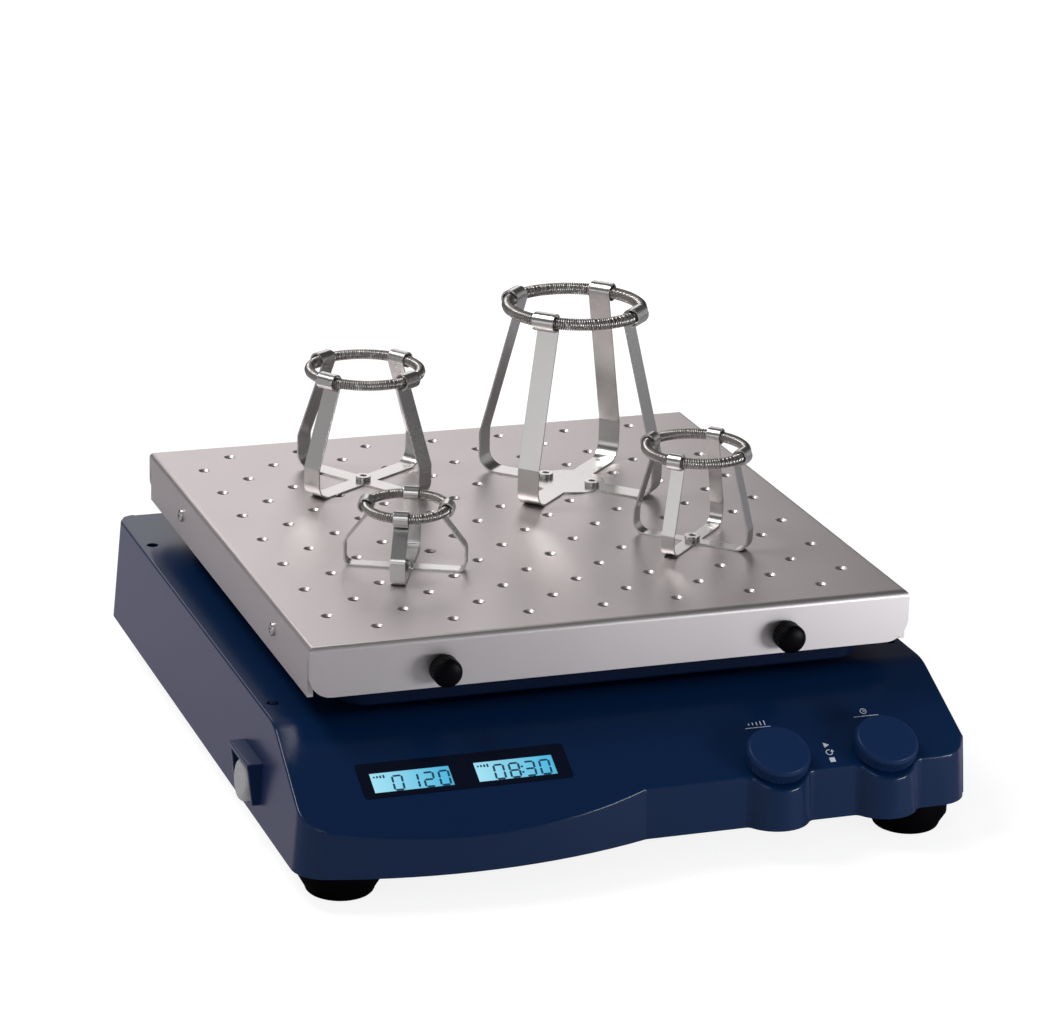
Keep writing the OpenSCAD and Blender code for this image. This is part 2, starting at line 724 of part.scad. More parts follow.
// Cast hub that carries the spindle in two ball bearings
module hub_housing() {
    hub_rib_t = 5;
    hub_rib_l = 17;
    color(alloy) at(drive_axis) difference() {
        union() {
            translate([0, 0, plate_top]) cylinder(d = hub_flange_d, h = hub_flange_t);
            translate([0, 0, plate_top]) cylinder(d = hub_d, h = hub_top - plate_top);
            for (a = [0:90:270]) rotate(a) translate([hub_d / 2 - 2, 0, plate_top]) rotate([90, 0, 0])
                translate([0, 0, -hub_rib_t / 2]) linear_extrude(hub_rib_t)
                    polygon([[0, 0], [hub_rib_l, 0], [hub_rib_l, hub_flange_t], [0, hub_top - plate_top - 4]]);
        }
        translate([0, 0, hub_low_z]) cylinder(d = spindle_bearing_d, h = spindle_bearing_w);
        translate([0, 0, plate_top - 1]) cylinder(d = spindle_bearing_d - 2 * hub_bore_gap, h = hub_top);
        translate([0, 0, hub_high_z]) cylinder(d = spindle_bearing_d, h = spindle_bearing_w + 1);
        for (a = [45:90:315]) rotate(a) translate([hub_screw_r, 0, plate_top - 1])
            cylinder(d = m5_d + 2 * screw_gap, h = hub_flange_t + 2);
    }
}

module hub_screws() {
    color(bright) at(drive_axis) for (a = [45:90:315]) rotate(a)
        translate([hub_screw_r, 0, plate_top + hub_flange_t])
            screw(m5_d, hub_flange_t + base_t, m5_d * 1.7, 4);
}

// Ball bearing seen as one solid: two rings with the sunk shields between them
module bearing(bore, outer, w) {
    ring = (outer - bore) / 8;
    shield = 0.5;
    in_r = bore / 2;
    out_r = outer / 2;
    rotate_extrude() polygon([[in_r, 0], [in_r + ring, 0], [in_r + ring, shield], [out_r - ring, shield],
        [out_r - ring, 0], [out_r, 0], [out_r, w], [out_r - ring, w], [out_r - ring, w - shield],
        [in_r + ring, w - shield], [in_r + ring, w], [in_r, w]]);
}

module hub_bearings() {
    color(bright) at(drive_axis) for (z = [hub_low_z, hub_high_z]) translate([0, 0, z])
        bearing(spindle_d + 2 * running_gap, spindle_bearing_d, spindle_bearing_w);
}

// Four posts that carry the support cranks through the deck
module support_posts() {
    color(alloy) for (p = post_places) at(p) difference() {
        union() {
            translate([0, 0, plate_top]) cylinder(d = post_flange_d, h = post_flange_t);
            translate([0, 0, plate_top]) cylinder(d = post_d, h = post_top - plate_top);
            translate([0, 0, plate_top]) cylinder(d = post_d + 7, h = frame_z - plate_top);
        }
        translate([0, 0, post_low_z]) cylinder(d = crank_bearing_d, h = crank_bearing_w);
        translate([0, 0, post_low_z - 3]) cylinder(d = crank_bearing_d - 6, h = post_top);
        translate([0, 0, post_high_z]) cylinder(d = crank_bearing_d, h = crank_bearing_w + 1);
    }
}

module post_bearings() {
    color(bright) for (p = post_places, z = [post_low_z, post_high_z]) at(p) translate([0, 0, z])
        bearing(crank_d + 2 * running_gap, crank_bearing_d, crank_bearing_w);
}

// Slotted tension plate under the motor
module motor_mount() {
    slot_l = 13;
    color(bright * 0.8) at(motor_axis) difference() {
        translate([0, 0, plate_top]) round_plate(motor_plate_w, motor_d + 6, 5, motor_mount_t);
        for (sx = [-1, 1], sy = [-1, 1]) translate([sx * motor_screw_x, sy * motor_screw_y, plate_top - 1])
            round_plate(m4_d + 2 * clear_gap, slot_l, m4_d / 2, motor_mount_t + 2);
    }
}

module motor_screws() {
    color(bright) at(motor_axis) for (sx = [-1, 1], sy = [-1, 1])
        translate([sx * motor_screw_x, sy * motor_screw_y, motor_z])
            screw(m4_d, motor_mount_t, m4_head_d, m4_head_h);
}

// Brushless motor: finned can, end bell and a bore for its shaft
module motor() {
    color(black) at(motor_axis) difference() {
        union() {
            translate([0, 0, motor_z]) cylinder(d = motor_d - 4, h = motor_top - motor_z);
            for (z = [motor_z, motor_top - 6]) translate([0, 0, z]) cylinder(d = motor_d, h = 6);
            for (a = [0:15:345]) rotate(a) translate([motor_d / 2 - 3, -0.8, motor_z + 3])
                cube([2.5, 1.6, motor_top - motor_z - 6]);
        }
        translate([0, 0, motor_z + 4]) cylinder(d = motor_shaft_d + 2 * running_gap, h = motor_top);
    }
}

// Outline of the flat belt round both pulleys: two arcs joined by their common tangents
function belt_outline(grow) = let (big = pulley_d / 2 + clear_gap + grow,
    little = motor_pulley_d / 2 + clear_gap + grow, a = acos((big - little) / motor_offset))
    concat(arc([0, 0], big, 90 + a, 450 - a, 60), arc([0, motor_offset], little, 90 - a, 90 + a, 24));

module drive_belt() {
    color(black) at(drive_axis) translate([0, 0, belt_z]) linear_extrude(belt_w) difference() {
        polygon(belt_outline(belt_t));
        polygon(belt_outline(0));
    }
}

// Circuit board on four stand-offs with its larger components
module control_board() {
    w = 84;
    d = 120;
    t = 1.6;
    lift = 6;
    side_gap = 14;
    c = [-(half_w - wall - side_gap - w / 2), drive_y - 1];
    color(board) {
        translate([c[0], c[1], plate_top + lift]) round_plate(w, d, 3, t);
        for (sx = [-1, 1], sy = [-1, 1])
            translate([c[0] + sx * (w / 2 - 5), c[1] + sy * (d / 2 - 5), plate_top]) cylinder(d = 6, h = lift + eps);
        translate([c[0], c[1], plate_top + lift + t - eps]) {
            for (i = [0:3]) translate([-w / 2 + 12 + i * 14, d / 2 - 16, 0]) cylinder(d = 10, h = 16);
            translate([-10, -8, 0]) cube([16, 16, 2]);
            for (i = [0:2]) translate([20, -36 + i * 24, 0]) cube([5, 15, 22]);
            translate([-w / 2 + 6, -d / 2 + 6, 0]) cube([30, 10, 12]);
            translate([w / 2 - 40, -d / 2 + 6, 0]) cube([24, 8, 9]);
        }
    }
}

// Mains power supply in its open tray
module power_supply() {
    w = 72;
    d = 112;
    h = 30;
    t = 1.5;
    lift = 5;
    color(bright * 0.75) translate([half_w - wall - 12 - w / 2, drive_y, plate_top]) {
        difference() {
            translate([-w / 2, -d / 2, 0]) cube([w, d, h]);
            translate([-w / 2 + t, -d / 2 - 1, t]) cube([w - 2 * t, d + 2, h]);
        }
        translate([0, 0, t - eps]) {
            translate([-w / 2 + 6, -d / 2 + 8, 0]) cube([w - 12, d - 16, lift]);
            translate([-22, -10, lift - eps]) cube([32, 34, 20]);
            translate([16, 30, lift - eps]) cylinder(d = 22, h = 20);
            translate([-18, 36, lift - eps]) cylinder(d = 14, h = 18);
            translate([-24, -44, lift - eps]) cube([46, 12, 11]);
        }
    }
}

// Three-pole mains inlet with its fuse drawer
module mains_inlet() {
    flange_w = inlet_w + 8;
    flange_d = inlet_h + 6;
    flange_t = 1.6;
    depth = 22;
    face = housing_rear - lean * (inlet_z - housing_z);
    color(black) translate([inlet_x, face + 1.8, inlet_z]) rotate([90, 0, 0]) difference() {
        union() {
            rotate([draft_angle, 0, 0]) round_plate(flange_w, flange_d, 2, flange_t);
            round_plate(inlet_w, inlet_h, 1.5, depth);
        }
        translate([0, 1, -2]) linear_extrude(16)
            polygon([[-11, -5.5], [11, -5.5], [11, 4], [8, 7], [-8, 7], [-11, 4]]);
    }
    color(bright) for (p = [[-7, -1.5], [0, 3], [7, -1.5]])
        translate([inlet_x + p[0], face - 14.5, inlet_z + 1 + p[1]]) translate([-1, 0, -2]) cube([2, 13, 4]);
}

module display_window() {
    color([0.03, 0.04, 0.06]) on_panel(-window_x, window_down) translate([0, 0, -window_t])
        round_plate(window_w, window_h, 2, window_t);
}

// Two figure displays on their board, close behind the window
module display_module() {
    glass_t = 2.5;
    pcb_t = 1.6;
    frame = 2;
    color([0.35, 0.75, 0.88]) on_panel(-window_x, window_down + lcd_drop) {
        for (s = [-1, 1]) translate([s * lcd_spacing / 2, 0, -window_t - glass_t - clear_gap])
            round_plate(lcd_w + frame, lcd_h + frame, 1, glass_t);
        translate([0, 0, -window_t - glass_t - clear_gap - pcb_t])
            round_plate(window_w - 6, lcd_h + frame, 1, pcb_t + eps);
        for (sx = [-1, 1]) translate([sx * (window_w / 2 - 12), 0, -window_t - glass_t - clear_gap - pcb_t - 5])
            cylinder(d = 8, h = 5 + eps);
    }
}

module encoder_bodies() {
    color(bright * 0.6) for (x = knob_places) on_panel(x, knob_down) difference() {
        union() {
            translate([0, 0, -wall - encoder_t]) round_plate(13, 13, 1, encoder_t);
            translate([0, 0, -wall - eps]) cylinder(d = encoder_neck_d, h = wall + eps);
            translate([0, 0, -wall - encoder_t - 1.5]) round_plate(11, 11, 1, 1.5 + eps);
        }
        translate([0, 0, -wall - encoder_t + 1]) cylinder(d = encoder_neck_d - 1, h = plunger_t + 2);
        translate([0, 0, -wall - encoder_t + 1])
            cylinder(d = encoder_shaft_d + 2 * running_gap, h = encoder_t + wall + 1);
    }
}

// Collar inside the encoder that takes the push but does not turn
module encoder_plunger(x) {
    color(bright) on_panel(x, knob_down) translate([0, 0, plunger_z])
        cylinder(d = encoder_neck_d - 2, h = plunger_t);
}

module encoder_shaft(x) {
    low = plunger_z + plunger_t;
    color(bright) on_panel(x, knob_down) translate([0, 0, low])
        cylinder(d = encoder_shaft_d, h = knob_gap + knob_h - knob_roof - low);
}

// Knob with a fine-ribbed skirt and a broad chamfer round its flat top
module knob(x) {
    chamfer = 1.2;
    rib_h = knob_h - chamfer - 0.6;
    r = knob_d / 2;
    rib = 0.5;
    hollow_h = 3.5;
    color(navy_knob) on_panel(x, knob_down) translate([0, 0, knob_gap]) difference() {
        union() {
            rotate_extrude($fn = 96) polygon([[0, 0], [r - rib - 0.5, 0], [r - rib, 0.5], [r - rib, rib_h],
                [r, rib_h], [r, knob_h - chamfer], [r - chamfer, knob_h], [0, knob_h]]);
            translate([0, 0, 0.8]) linear_extrude(rib_h - 0.8 + eps)
                polygon([for (i = [0:knob_ribs * 2 - 1]) let (a = i * 180 / knob_ribs)
                    (i % 2 == 0 ? r : r - rib - 0.05) * [cos(a), sin(a)]]);
        }
        translate([0, 0, -1]) difference() {
            cylinder(r = r - 3, h = hollow_h + 1);
            cylinder(d = encoder_neck_d + 3, h = hollow_h + 1);
        }
        translate([0, 0, -1]) cylinder(d = encoder_shaft_d, h = knob_h - knob_roof + 1);
    }
}

// Round rocker switch: body, clear boot and rocker
module switch_body() {
    color(black) switch_axis() difference() {
        union() {
            translate([0, 0, -18]) cylinder(d = switch_d, h = 18);
            cylinder(d = switch_d + 2 * switch_rim, h = switch_flange_t);
            for (x = [-5, 0, 5]) translate([x - 0.4, -2.4, -26]) cube([0.8, 4.8, 8.5]);
        }
        translate([0, 0, -5]) cylinder(r = rocker_r + 1.5, h = 8);
    }
}

module switch_boot() {
    r = switch_d / 2 + switch_rim - 0.5;
    t = 0.8;
    h = 5.3;
    round_r = 3;
    color([0.75, 0.78, 0.80]) switch_axis() translate([0, 0, switch_flange_t]) rotate_extrude() polygon(concat(
        [[r - t, 0], [r, 0]], arc([r - round_r, h - round_r], round_r, 0, 90, 5), [[0, h], [0, h - t]],
        arc([r - round_r, h - round_r], round_r - t, 90, 0, 5)));
}

module switch_rocker() {
    r = rocker_r;
    color(black) switch_axis() intersection() {
        translate([0, 0, -3.5]) cylinder(r = r, h = 12);
        rotate([90, 0, 0]) translate([0, 0, -r]) linear_extrude(2 * r)
            polygon([[-r, -1], [0, -3], [r, -1], [r, 2.2], [0, 2.2], [-r, 4.2]]);
    }
    color(black) switch_axis() rotate([90, 0, 0]) cylinder(d = 2, h = 2 * (r + 1.5 - clear_gap), center = true);
}

// Spindle with the eccentric pin turned on its upper end
module drive_shaft() {
    color(bright) {
        at(drive_axis) translate([0, 0, shaft_low]) cylinder(d = spindle_d, h = pin_z - shaft_low);
        at(carriage) translate([0, 0, pin_z - eps]) cylinder(d = spindle_d, h = pin_top - pin_z);
    }
}

module shaft_collar() {
    color(black) at(drive_axis) translate([0, 0, collar_z]) difference() {
        cylinder(d = spindle_d + 9, h = collar_t);
        translate([0, 0, -1]) cylinder(d = spindle_d, h = collar_t + 2);
    }
}

// Spoked pulley with two rims that keep the belt in its track
module drive_pulley() {
    r = pulley_d / 2;
    color(alloy) at(drive_axis) translate([0, 0, pulley_z]) difference() {
        union() {
            for (z = [0, pulley_t - pulley_rim]) translate([0, 0, z]) cylinder(r = r + belt_t, h = pulley_rim);
            cylinder(r = r, h = pulley_t);
        }
        translate([0, 0, -1]) cylinder(d = spindle_d, h = pulley_t + 2);
        for (z = [-1, pulley_t - 3.5]) translate([0, 0, z]) difference() {
            cylinder(r = r - 6, h = 4.5);
            cylinder(r = spindle_d / 2 + 7, h = 4.5);
        }
        for (a = [0:60:300]) rotate(a) translate([r * 0.56, 0, -1]) cylinder(d = r * 0.4, h = pulley_t + 2);
    }
}

// Balance weight opposite the eccentric pin
module counterweight() {
    color(bright * 0.6) at(drive_axis) translate([0, 0, weight_z]) difference() {
        union() {
            cylinder(r = weight_hub_r, h = weight_t);
            intersection() {
                cylinder(r = weight_r, h = weight_t);
                linear_extrude(weight_t) polygon([[0, -4], [weight_r * 1.2, 30], [weight_r * 1.2, 80],
                    [-weight_r * 1.2, 80], [-weight_r * 1.2, 30]]);
            }
        }
        translate([0, 0, -1]) cylinder(d = spindle_d, h = weight_t + 2);
        for (s = [-1, 1]) translate([s * 24, 36, -1]) cylinder(d = 8.4, h = weight_t + 2);
    }
}

module motor_shaft() {
    color(bright) at(motor_axis) translate([0, 0, motor_z + 5])
        cylinder(d = motor_shaft_d, h = pulley_z + pulley_t - motor_z - 5);
}

module motor_pulley() {
    r = motor_pulley_d / 2;
    color(alloy) at(motor_axis) translate([0, 0, pulley_z]) difference() {
        union() {
            for (z = [0, pulley_t - pulley_rim]) translate([0, 0, z]) cylinder(r = r + belt_t, h = pulley_rim);
            cylinder(r = r, h = pulley_t);
        }
        translate([0, 0, -1]) cylinder(d = motor_shaft_d, h = pulley_t + 2);
    }
}

// Support crank: journal, web and a pin as far off centre as the spindle's
module crank(p) {
    web_r = crank_d / 2 + 3;
    color(bright) {
        at(p) translate([0, 0, post_low_z - 1]) cylinder(d = crank_d, h = crank_web_z - post_low_z + 1 + eps);
        translate([0, 0, crank_web_z]) linear_extrude(crank_web_t) {
            at(p) circle(web_r);
            at(p + [0, -orbit_r]) circle(web_r);
            translate(p + [-web_r, -orbit_r]) square([2 * web_r, orbit_r]);
        }
        at(p + [0, -orbit_r]) translate([0, 0, crank_web_z + crank_web_t - eps])
            cylinder(d = crank_d, h = pin_top - crank_web_z - crank_web_t);
    }
}

// Cast tray upside down: top, four walls, ribs and a boss for every bearing
module carrier() {
    w = platform_w - 2 * carrier_inset;
    d = platform_d - 2 * carrier_inset_y;
    inner_w = w - 2 * carrier_wall;
    inner_d = d - 2 * carrier_wall;
    boss_low = carrier_seat_z - seat_lip;
    crank_low = crank_seat_z - seat_lip;
    rib_h = 12;
    rib_t = 4;
    color(navy) at(carriage) difference() {
        union() {
            difference() {
                translate([0, 0, carrier_z]) round_plate(w, d, carrier_corner_r, carrier_h);
                translate([0, 0, carrier_z - 1])
                    round_plate(inner_w, inner_d, carrier_corner_r - carrier_wall, carrier_h - carrier_top_t + 1);
            }
            translate([0, 0, boss_low])
                cylinder(d = spindle_bearing_d + 14, h = carrier_ceiling - boss_low + 1);
            for (sx = [-1, 1], sy = [-1, 1]) translate([sx * crank_x, sy * crank_y, crank_low])
                cylinder(d = crank_bearing_d + 10, h = carrier_ceiling - crank_low + 1);
            for (s = [-1, 1]) {
                translate([-inner_w / 2 - 1, s * crank_y - rib_t / 2, carrier_ceiling - rib_h])
                    cube([inner_w + 2, rib_t, rib_h + 1]);
                translate([s * crank_x - rib_t / 2, -inner_d / 2 - 1, carrier_ceiling - rib_h])
                    cube([rib_t, inner_d + 2, rib_h + 1]);
            }
            // bosses behind the front wall for the thumb screws
            for (s = [-1, 1]) translate([s * thumb_x, -d / 2 + thumb_boss, top_z - thumb_drop])
                rotate([90, 0, 0]) cylinder(d = thumb_boss_d, h = thumb_boss - carrier_wall / 2);
        }
        translate([0, 0, boss_low - 1])
            cylinder(d = spindle_bearing_d - 2 * hub_bore_gap, h = pin_top + 1.5 - boss_low);
        translate([0, 0, boss_low - 1]) cylinder(d = spindle_bearing_d, h = seat_lip + 1 + spindle_bearing_w);
        for (sx = [-1, 1], sy = [-1, 1]) translate([sx * crank_x, sy * crank_y, crank_low - 1]) {
            cylinder(d = crank_bearing_d, h = seat_lip + 1 + crank_bearing_w);
            cylinder(d = crank_bearing_d - 6, h = pin_top + 1.5 - crank_low);
        }
        for (s = [-1, 1]) translate([s * thumb_x, -d / 2 + thumb_hole, top_z - thumb_drop]) rotate([90, 0, 0])
            cylinder(d = m5_d + 2 * running_gap, h = 2 * thumb_hole);
        for (sx = [-1, 1], y = platform_screw_y) translate([sx * (w / 2 + 1), y, top_z - screw_drop])
            rotate([0, -sx * 90, 0]) cylinder(d = side_screw_d, h = 2 * carrier_wall);
    }
}
module carrier_bearing() {
    color(bright) at(carriage) translate([0, 0, carrier_seat_z])
        bearing(spindle_d + 2 * running_gap, spindle_bearing_d, spindle_bearing_w);
}

module crank_pin_bearings() {
    color(bright) for (p = post_places) at(p + [0, -orbit_r]) translate([0, 0, crank_seat_z])
        bearing(crank_d + 2 * running_gap, crank_bearing_d, crank_bearing_w);
}

// Box with its upper edges rounded, open downward, for the folded tray
module tray_form(w, d, r, h) {
    intersection() {
        translate([0, d / 2, 0]) rotate([90, 0, 0]) linear_extrude(d) tray_end(w, r, h);
        translate([-w / 2, 0, 0]) rotate([90, 0, 90]) linear_extrude(w) tray_end(d, r, h);
    }
}

module tray_end(w, r, h) {
    translate([-w / 2, -h]) square([w, h - r]);
    translate([-w / 2 + r, -h]) square([w - 2 * r, h]);
    for (s = [-1, 1]) translate([s * (w / 2 - r), -r]) circle(r);
}

// Folded aluminium platform with its field of threaded holes in staggered rows
module platform() {
    slit = 0.6;
    closed_h = 8;
    sink_h = (hole_sink_d - hole_d) / 2;
    cols = floor((platform_w / 2 - hole_edge) / half_pitch);
    rows = floor((platform_d / 2 - hole_edge) / half_pitch);
    color(alloy) at(carriage) translate([0, 0, top_z]) difference() {
        tray_form(platform_w, platform_d, bend_r, flange_h);
        translate([0, 0, -sheet_t])
            tray_form(platform_w - 2 * sheet_t, platform_d - 2 * sheet_t, bend_r - sheet_t, flange_h);
        // slits that part the side flanges from the front and rear ones
        for (sx = [-1, 1], sy = [-1, 1])
            translate([sx * platform_w / 2, sy * (platform_d / 2 - sheet_t - slit / 2), -flange_h / 2 - closed_h])
                cube([2 * sheet_t + 1, slit, flange_h], center = true);
        // round lower corners of the front and rear flanges
        for (sx = [-1, 1], sy = [-1, 1]) translate([sx * (platform_w / 2 - flange_corner_r),
            sy * (platform_d / 2 - sheet_t / 2), -flange_h + flange_corner_r])
            rotate([90, 0, 0]) translate([0, 0, -sheet_t / 2 - slit / 2]) linear_extrude(sheet_t + slit)
                difference() {
                    translate([sx > 0 ? 0 : -flange_corner_r - 1, -flange_corner_r - 1])
                        square(flange_corner_r + 1);
                    circle(flange_corner_r);
                }
        for (i = [-cols:cols], j = [-rows:rows]) if ((i + j) % 2 != 0)
            translate([i * half_pitch, j * half_pitch, 0]) {
                translate([0, 0, -sheet_t - 1]) cylinder(d = hole_d, h = sheet_t + 2, $fn = 24);
                translate([0, 0, -sink_h])
                    cylinder(d1 = hole_d, d2 = hole_sink_d + 2 * eps, h = sink_h + eps, $fn = 24);
            }
        for (s = [-1, 1]) translate([s * thumb_x, -platform_d / 2 + sheet_t + 1, -thumb_drop])
            rotate([90, 0, 0]) cylinder(d = m5_d + 1, h = sheet_t + 2);
        for (sx = [-1, 1], y = platform_screw_y) translate([sx * (platform_w / 2 + 1), y, -screw_drop])
            rotate([0, -sx * 90, 0]) cylinder(d = side_screw_d + 2 * screw_gap, h = sheet_t + 2);
    }
}

// Screws through the side flanges, with spacer sleeves to the carrier
module platform_screws() {
    sleeve_d = 8;
    color(bright) at(carriage) for (sx = [-1, 1], y = platform_screw_y)
        translate([sx * platform_w / 2, y, top_z - screw_drop]) rotate([0, sx * 90, 0]) {
            screw(side_screw_d, carrier_inset + carrier_wall, side_head_d, side_head_h);
            translate([0, 0, -carrier_inset]) cylinder(d = sleeve_d, h = carrier_inset - sheet_t);
        }
}

// Path of one finger in its own upright plane: low bend, belly, crease, slant and rolled eye
function finger_path(c) = let (low = low_bend_r(c), ring = [ring_r(c), ring_z(c)], eye = eye_r(c),
    crease = [belly_r(c) - crease_r, belly_z(c)], away = ring - crease,
    slant = atan2(away[1], away[0]) - acos((crease_r + eye) / norm(away)))
    concat([[strip_end(c), band_t / 2]], arc([belly_r(c) - low, band_t / 2 + low], low, -90, 0, 6),
        arc(crease, crease_r, 0, slant, 3), arc(ring, eye, slant + 180, slant - 105, 14));
// Length of each flat arm of the base, measured from its middle
function strip_end(c) = belly_r(c) - low_bend_r(c) - 0.5;
// Radius of the rolled eye's middle line, wide enough for the curved ring to pass
function eye_r(c) = spring_d(c) / 2 + pow(band_w(c), 2) / (8 * ring_r(c)) + clear_gap + band_t / 2;
function clamp_place(c) = carriage + c[0] * half_pitch;
function clamp_screw_places(c) = norm(screw_step(c)) > 0 ? [for (s = [-1, 1]) s * screw_step(c)] : [[0, 0]];

module spring_clamp(c) {
    hub_r = max(band_w(c) * 0.75, norm(screw_step(c)) + 6);
    color(bright) at(clamp_place(c)) translate([0, 0, top_z]) {
        linear_extrude(band_t) difference() {
            union() {
                circle(hub_r);
                for (a = [0, 90]) rotate(turn(c) + a) square([2 * strip_end(c), band_w(c)], center = true);
            }
            for (p = clamp_screw_places(c)) translate(p) circle(d = clamp_hole_d);
        }
        for (a = [0:90:270]) rotate(turn(c) + a) rotate([90, 0, 0]) translate([0, 0, -band_w(c) / 2])
            linear_extrude(band_w(c)) polygon(band(finger_path(c), band_t));
    }
}

module clamp_ring(c) {
    color(bright * 0.9) at(clamp_place(c)) translate([0, 0, top_z + ring_z(c)])
        rotate_extrude($fn = 96) translate([ring_r(c), 0]) circle(d = spring_d(c), $fn = 24);
}

module clamp_screws() {
    color(bright) for (c = [large, medium, small, mini], p = clamp_screw_places(c))
        at(clamp_place(c) + p) translate([0, 0, top_z + band_t])
            screw(hole_d - 2 * screw_gap, band_t + sheet_t - 0.5, clamp_head_d, clamp_head_h);
}

// Knurled thumb screw with a domed end
module thumb_screw(s) {
    r = thumb_d / 2;
    bevel = 0.8;
    grooves = 30;
    groove_r = 0.35;
    front = carriage[1] - platform_d / 2 - thumb_gap;
    color(black) translate([s * thumb_x, front, top_z - thumb_drop]) rotate([90, 0, 0]) {
        difference() {
            rotate_extrude($fn = 60) polygon(concat([[0, 0], [r - bevel, 0], [r, bevel]],
                [for (a = [0:11.25:90]) [r * cos(a), thumb_l - thumb_dome * (1 - sin(a))]]));
            for (i = [0:grooves - 1]) rotate(i * 360 / grooves) translate([r, 0, 1])
                cylinder(r = groove_r, h = thumb_l, $fn = 13);
        }
        translate([0, 0, -thumb_reach]) cylinder(d = m5_d, h = thumb_reach + eps);
    }
}

housing();
base_plate();
rubber_feet();
foot_screws();
deck_screws();
base_screws();
deck_frame();
hub_housing();
hub_screws();
hub_bearings();
support_posts();
post_bearings();
motor_mount();
motor();
motor_screws();
drive_belt();
control_board();
power_supply();
mains_inlet();
display_window();
display_module();
encoder_bodies();
switch_body();
switch_boot();
switch_rocker();
drive_shaft();
shaft_collar();
drive_pulley();
counterweight();
motor_shaft();
motor_pulley();
crank(post_places[0]);  // crank_front_left
crank(post_places[2]);  // crank_front_right
crank(post_places[1]);  // crank_rear_left
crank(post_places[3]);  // crank_rear_right
carrier();
carrier_bearing();
crank_pin_bearings();
platform();
platform_screws();
spring_clamp(large);  // clamp_large
clamp_ring(large);  // clamp_large_ring
spring_clamp(medium);  // clamp_medium
clamp_ring(medium);  // clamp_medium_ring
spring_clamp(small);  // clamp_small
clamp_ring(small);  // clamp_small_ring
spring_clamp(mini);  // clamp_mini
clamp_ring(mini);  // clamp_mini_ring
clamp_screws();
thumb_screw(-1);  // thumb_screw_left
thumb_screw(1);  // thumb_screw_right
encoder_plunger(knob_places[0]);  // encoder_plunger_left
encoder_plunger(knob_places[1]);  // encoder_plunger_right
encoder_shaft(knob_places[0]);  // encoder_shaft_left
encoder_shaft(knob_places[1]);  // encoder_shaft_right
knob(knob_places[0]);  // knob_left
knob(knob_places[1]);  // knob_right
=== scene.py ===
"""Bench orbital shaker: the looks of its housing, platform, vessel clamps, knobs, display and studio.

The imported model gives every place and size. Lengths here are metres, and MM turns millimetres into them.
"""
import json
import math

import bmesh
import bpy
from mathutils import Euler, Matrix, Vector


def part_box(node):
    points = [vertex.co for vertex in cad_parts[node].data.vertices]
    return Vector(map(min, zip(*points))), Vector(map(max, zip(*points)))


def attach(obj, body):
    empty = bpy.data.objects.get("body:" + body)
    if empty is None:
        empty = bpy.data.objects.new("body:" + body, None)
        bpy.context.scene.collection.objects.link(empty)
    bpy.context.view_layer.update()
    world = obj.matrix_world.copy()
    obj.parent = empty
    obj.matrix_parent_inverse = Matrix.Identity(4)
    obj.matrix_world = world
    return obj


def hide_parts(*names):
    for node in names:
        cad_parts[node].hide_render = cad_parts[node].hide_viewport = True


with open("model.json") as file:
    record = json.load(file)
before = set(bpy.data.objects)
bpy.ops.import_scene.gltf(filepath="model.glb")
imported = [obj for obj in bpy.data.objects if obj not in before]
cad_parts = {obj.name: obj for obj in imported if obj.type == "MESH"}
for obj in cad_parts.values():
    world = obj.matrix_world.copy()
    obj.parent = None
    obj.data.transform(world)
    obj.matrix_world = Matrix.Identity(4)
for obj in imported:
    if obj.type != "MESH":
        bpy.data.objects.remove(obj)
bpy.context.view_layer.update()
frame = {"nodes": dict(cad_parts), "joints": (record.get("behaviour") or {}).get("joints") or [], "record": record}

MM = 0.001
# Points nearer than this are the same
NEAR = 0.001 * MM
JOINTS = {joint["name"]: joint for joint in frame["joints"]}
BODY_OF = {node: body for body, nodes in frame["record"]["behaviour"]["bodies"].items() for node in nodes}
SLOT_OF = {part["node"]: part["material_slot"] for part in frame["record"]["subparts"]}

# Camera of the photograph
CAMERA_PLACE = (-0.6782, -1.8753, 0.8067)
CAMERA_AZIMUTH = 19.884
CAMERA_ELEVATION = 18.717
CAMERA_ROLL = 1.741
PHOTO_WIDTH = 1055
FOCAL_PIXELS = 3852.1
SENSOR_MM = 36.0
CLIP_END = 20

# Control panel: a frame that lies on the slope; its start is this far up the slope from the knobs' axes
KNOB_DOWN = 60 * MM
PANEL_UP = Vector(JOINTS["knob_left_turn"]["axis"])
PANEL_X = Vector((1, 0, 0))
PANEL_DOWN = PANEL_X.cross(PANEL_UP)
if PANEL_DOWN.z > 0:
    PANEL_DOWN.negate()
PANEL_START = Vector(JOINTS["knob_left_turn"]["pos_m"]) - PANEL_DOWN * KNOB_DOWN

# Dark window on the panel and the two lit figure displays in it; X is in the frame, DOWN is down the slope
WINDOW_X = -91 * MM
WINDOW_DOWN = 44.4 * MM
WINDOW_HEIGHT = 22.7 * MM
LCD_WIDTH = 42 * MM
LCD_HEIGHT = 13 * MM
LCD_SPACING = 55.2 * MM
LCD_MIDDLE = -91.8 * MM
LCD_DOWN = 45.9 * MM
LCD_LEFT_END = LCD_MIDDLE - (LCD_SPACING + LCD_WIDTH) / 2


def on_panel(x, down, lift=0.0):
    """Point of the control panel: x in the frame, distance down the slope, height above the surface."""
    return Vector((x, PANEL_START.y, PANEL_START.z)) + PANEL_DOWN * down + PANEL_UP * lift


def panel_matrix(x, down, lift=0.0):
    """Turns a flat drawing, x right and y up, onto the control panel."""
    turn = Matrix((PANEL_X, -PANEL_DOWN, PANEL_UP)).transposed().to_4x4()
    return Matrix.Translation(on_panel(x, down, lift)) @ turn


# Shader node groups


